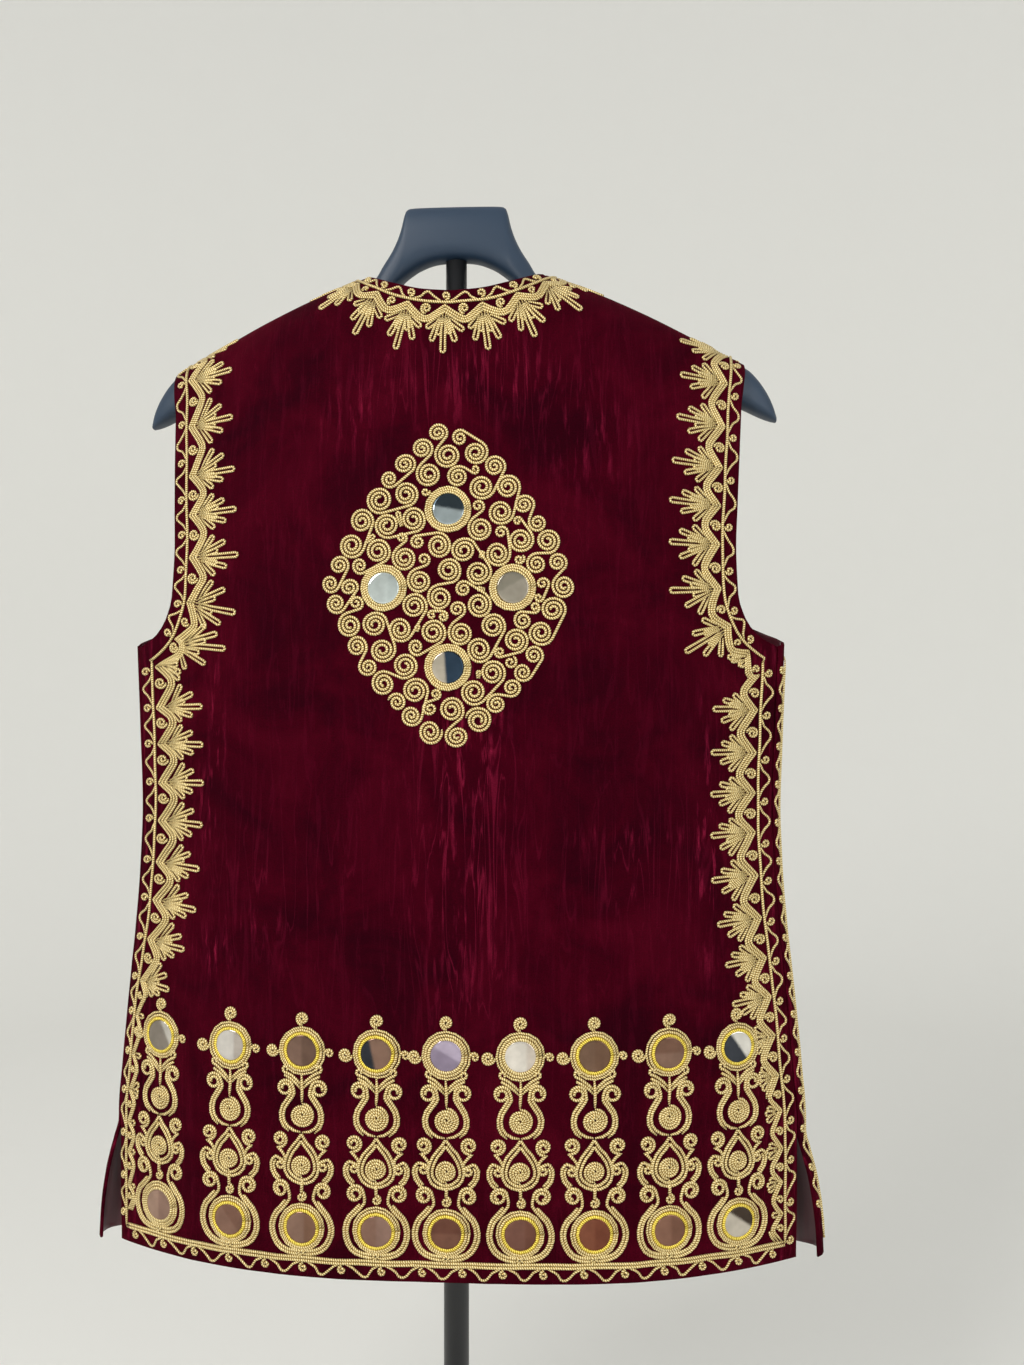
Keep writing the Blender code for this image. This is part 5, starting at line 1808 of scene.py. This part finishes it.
# ---------- velvet
@dataclass
class VelvetPanel:
    """One cut piece of velvet: a 2 mm shell with a rounded rim, on a grid of flat places."""

    cloth: ClothForm
    face: Face
    node: str
    grid: Array
    thick: float = 2.0
    rim_inset: float = 0.45

    def _attributes(self, made: Piece, s: Array, h: Array) -> None:
        """Say where the velvet gets lighter streaks of painted sheen, for crushed pile, and where the cloth
        is finely creased, with painted highlight lines.

        Args:
            made: The panel.
            s: Flat places of its points round the body.
            h: Their heights.
        """
        crush, wrinkled = np.full_like(s, 0.05), np.full_like(s, 0.1)
        # Soft-edged patches of painted sheen and of fine creases: flat middle, width, height and how much.
        patches = ((crush, ((-163, 662, 6, 40, 0.75), (-171, 612, 7, 28, 0.6), (175, 590, 9, 70, 0.95),
                            (-165, 514, 13, 12, 0.9), (-127, 534, 12, 9, 0.7), (120, 596, 40, 7, 0.45),
                            (8, 560, 24, 60, 0.42), (14, 655, 22, 40, 0.5), (30, 905, 40, 22, 0.5),
                            (-60, 880, 24, 24, 0.4), (95, 860, 26, 30, 0.4))),
                   (wrinkled, ((10, 562, 26, 72, 1), (15, 900, 60, 26, 0.6), (14, 650, 26, 36, 0.7),
                               (120, 575, 56, 30, 0.35), (-110, 560, 50, 40, 0.3))))
        for field_, spots in patches if self.face == Face.BACK else ():
            for s0, h0, wide, tall, most in spots:
                field_ += most * np.exp(-((s - s0) / wide) ** 2 - ((h - h0) / tall) ** 2)
        # Painted sheen: lighter towards each panel's outer sides, where the cloth turns away.
        edge = np.abs(s) / np.maximum(1, np.where(s > 0, s.max(), -s.min()))
        crush += 0.3 * np.clip((edge - 0.82) / 0.12, 0, 1)
        for word, value in (("crush", crush), ("wrinkled", wrinkled)):
            layer = made.data.attributes.new(word, "FLOAT", "POINT")
            layer.data.foreach_set("value", np.clip(value, 0, 1))

    def make(self, velvet: Material, satin: Material) -> None:
        """Args:
            velvet: Its right side and rim.
            satin: Its wrong side.
        """
        rows, columns = self.grid.shape[:2]
        flat = self.grid.reshape(-1, 2)
        outer, normal = self.cloth.place(self.face, *flat.T)
        base = np.arange(rows * columns).reshape(rows, columns)
        rim = np.concatenate([base[0], base[1:, -1], base[-1, -2::-1], base[-2:0:-1, 0]])
        count, total = rows * columns, len(rim)
        points = np.concatenate([outer, outer - normal * self.thick])
        loop = outer[rim]
        away = np.cross(np.roll(loop, -1, axis=0) - np.roll(loop, 1, axis=0), normal[rim])
        size = np.linalg.norm(away, axis=1)[:, None]
        away = np.where(size > 1e-6, away / np.maximum(size, 1e-6), 0)
        away *= np.sign(np.sum(away * (loop - outer.mean(axis=0)))) * self.rim_inset
        points[rim] -= away
        points[count + rim] -= away
        points = np.concatenate([points, loop - normal[rim] * self.thick / 2])
        quads = np.stack([base[:-1, :-1], base[:-1, 1:], base[1:, 1:], base[1:, :-1]], -1).reshape(-1, 4)
        twist = np.cross(points[quads[:, 1]] - points[quads[:, 0]], points[quads[:, 3]] - points[quads[:, 0]])
        outward = np.sum(twist * normal[quads[:, 0]]) > 0
        right = quads if outward else quads[:, ::-1]
        faces = right.tolist() + (right[:, ::-1] + count).tolist()
        for k, (a, b) in enumerate(zip(rim.tolist(), np.roll(rim, -1).tolist())):
            m0, m1 = 2 * count + k, 2 * count + (k + 1) % total
            pair = [(b, a, m0, m1), (m1, m0, a + count, b + count)]
            faces += pair if outward else [p[::-1] for p in pair]
        made = new_object(f"velvet_{self.node}", points, faces, velvet, satin)
        wrong = np.zeros(len(faces), int)
        wrong[len(quads):2 * len(quads)] = 1
        made.data.polygons.foreach_set("material_index", wrong)
        corner = np.empty(len(made.data.loops), int)
        made.data.loops.foreach_get("vertex_index", corner)
        flat = np.concatenate([flat, flat, flat[rim]])
        made.data.uv_layers.new(name="flat").data.foreach_set("uv", (flat[corner] * MM).ravel())
        self._attributes(made, *flat.T)
        seat(made, "velvet", self.node)


@dataclass
class Bodice:
    """The three velvet panels, with the folds and creases that hanging has put in them.

    A crease's row is: from s and h, to s and h, rise, width and bow.
    """

    row: float = 4.6
    column: float = 4.2
    front_column: float = 4.8
    fine_column: float = 2.4
    fine_half: float = 56.0
    fixed_half: float = 66.0     # nearer the middle than this, a column stays upright
    # Rows over the shoulder, and how often each of their places is brought nearer to it.
    over: dict[Face, tuple[int, int]] = per(Face, (33, 3), (31, 4))
    bend_rows: tuple[float, ...] = (723.2, 725.5, 728, 731, 735.5, 741, 745.5, 750.5, 757)
    back_creases: Rows = (
        # long upright ones that hang from the medallion's point to the columns
        (-19, 700, -16, 488, 0.9, 2.2, -1.5), (-9, 655, -5, 476, -0.8, 2.6, 1),
        (1, 668, -1, 480, 1.1, 2, 0.8), (9, 690, 13, 500, -0.7, 2.4, 1.6),
        (18, 702, 17, 492, 1.2, 2.1, -1.2), (27, 676, 28, 520, -0.7, 2.8, 0.6),
        (38, 668, 34, 532, 0.6, 2.6, 1.4), (-30, 640, -28, 540, 0.5, 3, -0.8),
        # flat folds across the wearer's right, from packing
        (62, 604, 176, 590, 1, 3.2, 2), (70, 588, 158, 577, -0.8, 3.6, -1.2),
        (96, 572, 172, 556, 0.8, 3.2, 1.4), (64, 520, 150, 528, 0.7, 5.5, 2.5),
        (58, 560, 92, 552, 0.5, 3, 0.6),
        # crushed folds over the left side's small palmettes
        (-178, 524, -146, 506, 1.3, 3.2, 1.6), (-176, 514, -150, 500, -1, 2.8, -1),
        (-144, 542, -112, 528, 1, 3, 1.2), (-120, 566, -66, 558, 0.7, 4.4, -1.6),
        (-134, 590, -92, 600, 0.5, 4.6, 1), (-112, 512, -72, 520, 0.5, 4.2, 1.2),
        # slack beside the medallion and from the shoulders
        (-96, 700, -62, 640, 0.9, 7, 3), (-118, 760, -100, 690, -0.8, 8, -2),
        (92, 700, 60, 636, 0.9, 7.5, -3), (122, 770, 104, 690, -0.8, 8, 2), (-84, 900, -46, 858, 0.7, 5, 2),
        (84, 904, 52, 862, 0.7, 5.5, -2), (-128, 880, -112, 800, 0.8, 7, 1.6),
        (130, 884, 116, 806, 0.8, 7, -1.8), (-40, 908, 38, 902, -0.6, 4, -2),
        (-32, 894, 48, 888, 0.5, 3.2, 1.2),
        # long soft falls down the sides
        (-150, 700, -152, 540, 1.1, 9, -3), (-134, 690, -128, 560, -0.8, 8, 2),
        (152, 700, 156, 548, 1, 9, 3), (136, 690, 130, 560, -0.8, 8, -2), (-72, 640, -76, 500, 0.7, 9, 2),
        (78, 636, 74, 500, 0.6, 9.5, -2), (-180, 480, -178, 330, 0.8, 9, 2),
        (178, 486, 174, 330, 0.8, 9, -2),
        # shallow waves between the columns that run out at the hem
        (-180, 440, -182, 292, 1, 7.5, 1), (-124, 452, -126, 292, -0.8, 7, 1.6),
        (-73, 446, -71, 292, 0.9, 8, -1), (-24, 456, -22, 292, -0.7, 7, 1),
        (24, 448, 25, 292, 0.9, 7, -1.2), (73, 450, 72, 292, -0.8, 8, 1.2), (122, 452, 124, 292, 0.9, 7, 1),
        (172, 444, 174, 292, -0.7, 8, -1.4))
    # The fronts' creases, mirrored on to the other front, and one more on each.
    both_fronts_creases: Rows = (
        (62, 690, 70, 470, 1, 10, 2), (96, 700, 92, 420, -0.9, 11, -3), (128, 706, 136, 480, 1.1, 9, 3),
        (160, 640, 154, 350, -0.8, 10, -2), (74, 420, 80, 296, 0.9, 9, 1),
        (118, 430, 112, 296, -0.9, 10, 1.6), (70, 880, 120, 790, 0.9, 8, -3),
        (96, 900, 150, 830, -0.7, 7, 2), (60, 800, 88, 700, 0.8, 8, 2), (150, 800, 120, 700, 0.7, 8, -2),
        (70, 560, 132, 548, 0.6, 4, 1.4), (84, 530, 150, 540, -0.5, 4.4, -1),
        (180, 560, 186, 380, 0.7, 9, 1.6))
    one_front_creases: Rows = ((60, 612, 112, 600, 0.6, 3.6, 1), (-66, 660, -110, 640, 0.6, 3.8, 1.2))

    def creases(self) -> dict[Face, list[Crease]]:
        """Give the soft ridges and troughs of both faces.

        Returns:
            A list for each face.
        """
        front = [Crease(way * s0, h0, way * s1, h1, rise, width, way * bow)
                 for way in (-1, 1) for s0, h0, s1, h1, rise, width, bow in self.both_fronts_creases]
        return {Face.BACK: [Crease(*row) for row in self.back_creases],
                Face.FRONT: front + [Crease(*row) for row in self.one_front_creases]}

    def _half_shares(self, neck: float, width: float) -> Array:
        """Give the places of half the back's columns as shares of its width, finer in the middle.

        Args:
            neck: Place of the neck's end, which a column meets.
            width: The half's width.

        Returns:
            Rising shares, up to 1.
        """
        fine = np.arange(self.fine_column, self.fine_half, self.fine_column)
        near, rest = (np.linspace(a, b, math.ceil((b - a) / self.column) + 1)[1:]
                      for a, b in ((fine[-1], neck), (neck, width)))
        return np.concatenate([fine, near, rest]) / width

    def _heights(self, cloth: ClothForm) -> Array:
        """Give the heights of the level rows.

        Args:
            cloth: The form.

        Returns:
            Rising heights, up to where the rows turn to follow the shoulder.
        """
        bend = self.bend_rows
        low, high = (np.linspace(a, b, round((b - a) / self.row) + 1) for a, b in (
            (cloth.hem_z, cloth.underarm_z), (bend[-1], cloth.top_band_z)))
        return np.concatenate([low, bend, high[1:]])

    def _back_grid(self, cloth: ClothForm) -> Array:
        """Give the back's flat places.

        Args:
            cloth: The form.

        Returns:
            Rows of places, from the hem to the neck and shoulders.
        """
        top_s = np.concatenate([np.linspace(0, cloth.neck_x, 60), np.linspace(cloth.neck_x + 1e-3, 215, 90)])
        top_h = np.where(top_s <= cloth.neck_x, smooth(cloth.neckline, top_s),
                         cloth.ridge_flat(Face.BACK, top_s) - cloth.seam_gap / 2)
        halves = {side: cloth.edge_length(Face.BACK, side, cloth.top_band_z)[0] for side in Side}
        left, right = (self._half_shares(cloth.neck_x, half) for half in halves.values())
        columns = [(-u, Side.LEFT) for u in left[::-1]] + [(u, Side.RIGHT) for u in (0.0, *right)]
        level = self._heights(cloth)
        edges = {side: cloth.edge_length(Face.BACK, side, level) for side in Side}
        grid = [[(self._eased(u, edges[side][r], halves[side]), h) for u, side in columns]
                for r, h in enumerate(level)]
        # Rows over the shoulder are spread between the last level row and the upper edge.
        rows, passes = self.over[Face.BACK]
        for share in np.linspace(0, 1, rows + 1)[1:]:
            row = []
            for u, side in columns:
                h = cloth.top_band_z
                for _ in range(passes):
                    s = self._eased(u, cloth.edge_length(Face.BACK, side, h)[0], halves[side])
                    h = cloth.top_band_z + share * (np.interp(abs(s), top_s, top_h) - cloth.top_band_z)
                row.append((s, h))
            grid.append(row)
        return np.array(grid)

    def _eased(self, share: float, edge: float, whole: float) -> float:
        """Give a column's place in a row: fixed near the middle, stretched to meet the row's edge.

        Args:
            share: The column's share of the half's width.
            edge: The row's edge.
            whole: The half's width.

        Returns:
            The place round the body.
        """
        s, fixed = abs(share) * whole, self.fixed_half
        if s > fixed:
            s = fixed + (s - fixed) * (edge - fixed) / (whole - fixed)
        return math.copysign(s, share)

    def _front_grid(self, cloth: ClothForm, side: Side) -> Array:
        """Give a front's flat places.

        Args:
            cloth: The form.
            side: Which front.

        Returns:
            Rows of places, from the hem to the shoulder.
        """
        level = self._heights(cloth)
        outer = cloth.edge_length(Face.FRONT, side, level)
        inner = smooth(cloth.front_line, level)
        shares = np.linspace(0, 1, round((outer.max() - inner.min()) / self.front_column) + 1)
        grid = [[(side * (a + u * (b - a)), h) for u in shares] for a, b, h in zip(inner, outer, level)]
        top_s = np.linspace(60, 320, 260)
        top_h = cloth.ridge_flat(Face.FRONT, top_s) - cloth.seam_gap / 2
        rows, passes = self.over[Face.FRONT]
        for share in np.linspace(0, 1, rows + 1)[1:]:
            row = []
            for u in shares:
                h = cloth.top_band_z
                for _ in range(passes):
                    a = float(smooth(cloth.front_line, h))
                    s = a + u * (cloth.edge_length(Face.FRONT, side, h)[0] - a)
                    h = cloth.top_band_z + share * (np.interp(s, top_s, top_h) - cloth.top_band_z)
                row.append((side * s, h))
            grid.append(row)
        return np.array(grid)

    def make(self, cloth: ClothForm, velvet: Material, satin: Material) -> None:
        """Make the panels.

        Args:
            cloth: The form, with its creases.
            velvet: The right side.
            satin: The wrong side.
        """
        VelvetPanel(cloth, Face.BACK, "back", self._back_grid(cloth)).make(velvet, satin)
        for side in Side:
            node = f"front_{side.name.lower()}"
            VelvetPanel(cloth, Face.FRONT, node, self._front_grid(cloth, side)).make(velvet, satin)


# ---------- hanger and stand
@dataclass
class MouldedHanger:
    """One moulded piece: a flared head over an arch, and two arms that curve forward.

    The table's columns are: distance out, top, underside and half thickness.
    """

    half: Array = table(
        (0, 1034, 996, 11), (14, 1034, 994.6, 11), (26, 1034, 990.4, 11), (32.5, 1033.7, 986.3, 11),
        (35.2, 1032.4, 984.3, 11), (36.6, 1029, 983.2, 11), (38.6, 1020.5, 981.3, 11),
        (41.6, 1011.5, 978.3, 11), (46, 1002.5, 973.4, 11), (51.5, 994, 966.6, 10.8),
        (57, 985.2, 960.6, 10.4), (62, 982, 956.6, 10.8), (80, 976, 949, 12.2), (100, 970.8, 941, 13.8),
        (125, 959.8, 930, 13.8), (150, 948.2, 919, 13.6), (175, 936.6, 907.5, 13.2), (196, 928, 898, 12.8),
        (208, 921.8, 893, 12.2), (215, 915.6, 890, 11.4), (221.5, 907, 887.6, 10),
        (226.5, 897.6, 886.2, 7.5), (229.5, 889.6, 885.6, 4))
    arm: tuple[float, float] = (61.0, 209.0)
    cloth_clear: float = 2.9
    squareness: float = 2.7
    mould_line: float = 0.35
    foot_share: float = 0.36
    corners: int = 36
    # Sections from the middle out: up to this distance, this many.
    runs: tuple[tuple[float, int], ...] = ((32, 12), (62, 44), (208, 56), (229.5, 30))

    def make(self, cloth: ClothForm, finish: Material) -> None:
        """Make the hanger.

        Args:
            cloth: The form that hangs on it.
            finish: Its plastic.
        """
        rows = self.half.copy()
        under = (rows[:, 0] > self.arm[0]) & (rows[:, 0] < self.arm[1])
        rows[under, 1] = smooth(cloth.shoulder, rows[under, 0]) - self.cloth_clear
        starts = [0, *(end for end, _ in self.runs)]
        x = np.unique(np.concatenate([np.linspace(a, b, n) for a, (b, n) in zip(starts, self.runs)]))
        x = np.concatenate([-x[:0:-1], x])
        top, low, thick = (smooth(rows, np.abs(x), k)[:, None] for k in (1, 2, 3))
        turn = np.linspace(0, 2 * math.pi, self.corners, endpoint=False)
        c, s = (np.sign(v) * np.abs(v) ** (2 / self.squareness) for v in (np.cos(turn), np.sin(turn)))
        foot = self.foot_share * (top - low)
        y = cloth.hanger_line(x)[:, None] + thick * 0.985 * c
        line = (np.abs(np.abs(turn) - HALF_PI) < 0.01) * self.mould_line
        z = low + foot + np.where(s > 0, top - low - foot, foot) * s * 0.995 + line
        points = np.stack([np.broadcast_to(x[:, None], y.shape), y, z], axis=-1).reshape(-1, 3)
        faces = [f[::-1] for f in stacked(len(x), self.corners)]
        seat(new_object("moulded_hanger", points, faces, finish), "black_plastic", "hanger")


def turned(sides: int, *profile: tuple[float, float]) -> Array:
    """Give the points of a turned form, a ring for each radius and height of its profile."""
    angle = np.linspace(0, 2 * math.pi, sides, endpoint=False)
    return np.vstack([np.column_stack([circle((0, 0), r, angle), np.full(sides, z)]) for r, z in profile])


@dataclass
class WeightedStand:
    """A round weighted base with its hub, and a pole of two tubes joined by a collar.

    A short cylinder's sizes are radius, top, underside and its rounded rim's radius; a tube is a
    profile of radius and height.
    """

    sides: int = 96
    base: tuple[float, ...] = (140.0, 10.0, 0.0, 2.6)
    hub: tuple[float, ...] = (17.0, 34.0, 10.3, 2.0)
    collar: tuple[float, ...] = (13.0, 646.0, 620.3, 1.8)
    lower: Rows = ((8.5, 620.0), (8.9, 619.6), (8.9, 34.7), (8.5, 34.3))
    upper: Rows = ((7.4, 995.0), (7.4, 646.3))

    @staticmethod
    def _rounded(radius: float, top: float, low: float, rim: float, both: bool = False) -> Rows:
        """Give the profile of a short cylinder with a rounded upper rim.

        Args:
            radius: Its radius.
            top: Height of its upper face.
            low: Height of its underside.
            rim: The rounded rim's radius.
            both: Whether the lower rim is rounded too.

        Returns:
            Radii and heights from the upper face down.
        """
        arc = [(rim * math.sin(t) - rim, rim * math.cos(t) - rim) for t in np.linspace(0, HALF_PI, 7)]
        under = ([(radius + a, low - b) for a, b in arc[::-1]] if both
                 else [(radius, low + 0.4), (radius - 0.4, low)])
        return [(radius + a, top + b) for a, b in arc] + under

    def make(self, steel: Material, plastic: Material) -> None:
        """Make the stand.

        Args:
            steel: The coated steel of base, hub and tubes.
            plastic: The collar's plastic.
        """
        for name, node, profile, finish, slot in (
                ("base_plate", "stand_base", self._rounded(*self.base), steel, "black_steel"),
                ("base_hub", "stand_hub", self._rounded(*self.hub), steel, "black_steel"),
                ("pole_tube_lower", "pole_lower", self.lower, steel, "black_steel"),
                ("pole_sleeve", "pole_collar", self._rounded(*self.collar, True), plastic, "black_plastic"),
                ("pole_tube_upper", "pole_upper", self.upper, steel, "black_steel")):
            faces = [f[::-1] for f in stacked(len(profile), self.sides)]
            seat(new_object(name, turned(self.sides, *profile), faces, finish), slot, node)


# ---------- studio
@dataclass
class Studio:
    """A pale seamless floor that curves up all round, a big soft key light and a softer fill."""

    sides: int = 72
    radius: float = 2600.0
    height: float = 3400.0
    curve: float = 900.0
    sunk: float = 0.5            # keeps the floor clear of the base's underside
    aim: tuple[float, float, float] = (0.0, 0.0, 0.65)
    camera_at: tuple[float, float, float] = (0.0819, -0.8092, 0.697)
    camera_turn: tuple[float, float, float] = (90.0, 0.0, 3.0)
    lens_mm: float = 30.15
    air: str = "f1f0ee"
    air_strength: float = 0.76

    def _bowl(self, paint: Material) -> None:
        """Make the floor and its curved surround.

        Args:
            paint: Their paint.
        """
        wall = self.radius - self.curve
        arc = [(wall + self.curve * math.sin(t), self.curve - self.curve * math.cos(t))
               for t in np.linspace(0, HALF_PI, 14)]
        profile = [(1.0, 0.0), (600.0, 0.0), (1200.0, 0.0), *arc, (self.radius, self.height)]
        points = turned(self.sides, *profile) - (0, 0, self.sunk)
        faces = stacked(len(profile), self.sides)
        faces.pop(-2)            # leaves the bowl open above
        new_object("seamless_floor", points, faces, paint)

    def _softbox(self, name: str, place: Sequence[float], size: float, power: float,
                 colour: tuple[float, float, float]) -> None:
        """Add a square soft light aimed at the vest.

        Args:
            name: Its name.
            place: Where it stands, in metres.
            size: Its side, in metres.
            power: In watts.
            colour: Its linear colour.
        """
        light = bpy.data.lights.new(name, "AREA")
        light.size, light.energy, light.color = size, power, colour
        lamp = bpy.data.objects.new(name, light)
        lamp.location = place
        lamp.rotation_euler = (Vector(self.aim) - Vector(place)).to_track_quat("-Z", "Y").to_euler()
        bpy.context.scene.collection.objects.link(lamp)

    def make(self, paint: Material) -> None:
        """Build the studio, its lights and the camera.

        Args:
            paint: The floor's paint.
        """
        self._bowl(paint)
        self._softbox("key_softbox", (-1.25, -1.7, 1.9), 1.0, 34.0, (1.0, 0.985, 0.96))
        self._softbox("fill_softbox", (1.6, -1.5, 1.2), 1.5, 14.0, (0.95, 0.975, 1.0))
        scene = bpy.context.scene
        scene.world = scene.world or bpy.data.worlds.new("studio_air")
        scene.world.use_nodes = True
        air = scene.world.node_tree.nodes["Background"]
        wire(air, {"Color": linear(self.air), "Strength": self.air_strength})
        lens = bpy.data.cameras.new("view_camera")
        lens.lens, lens.sensor_width, lens.clip_start = self.lens_mm, 36.0, 0.02
        camera = bpy.data.objects.new("view_camera", lens)
        camera.location = self.camera_at
        camera.rotation_euler = [math.radians(a) for a in self.camera_turn]
        scene.collection.objects.link(camera)
        scene.camera = camera
        scene.view_settings.view_transform = "Standard"
        scene.view_settings.look = "None"


def main() -> None:
    """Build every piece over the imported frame, then the studio."""
    logging.basicConfig(level=logging.INFO, format="%(message)s")
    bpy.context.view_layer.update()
    bodice = Bodice()
    cloth = ClothForm(creases=bodice.creases())
    bodice.make(cloth, CottonBackedVelvet().make(), AcetateSatin().make())
    gold = ZariCord().make()
    # Bright yellow purl cord: its groove colour is painted shade and its light colour a painted highlight.
    bright = ZariCord("gilt_purl_cord", painted_groove_shade="8a6a08", body="dcb61c", light="fff07a", ply_mm=1.1).make()
    Borders(cloth, gold).make()
    mirrors = MirrorWork()
    for number, s in enumerate(mirrors.columns, 1):
        OrnamentColumn(number, s, cloth).make(gold)
    Medallion().make(cloth, gold)
    mirrors.make(cloth, SilveredGlass().make(), bright, gold)
    plastic = GrainedPolypropylene().make()
    MouldedHanger().make(cloth, plastic)
    WeightedStand().make(POWDER_COATED_STEEL.make(), plastic)
    Studio().make(MATT_EMULSION.make())


if __name__ == "__main__":
    main()
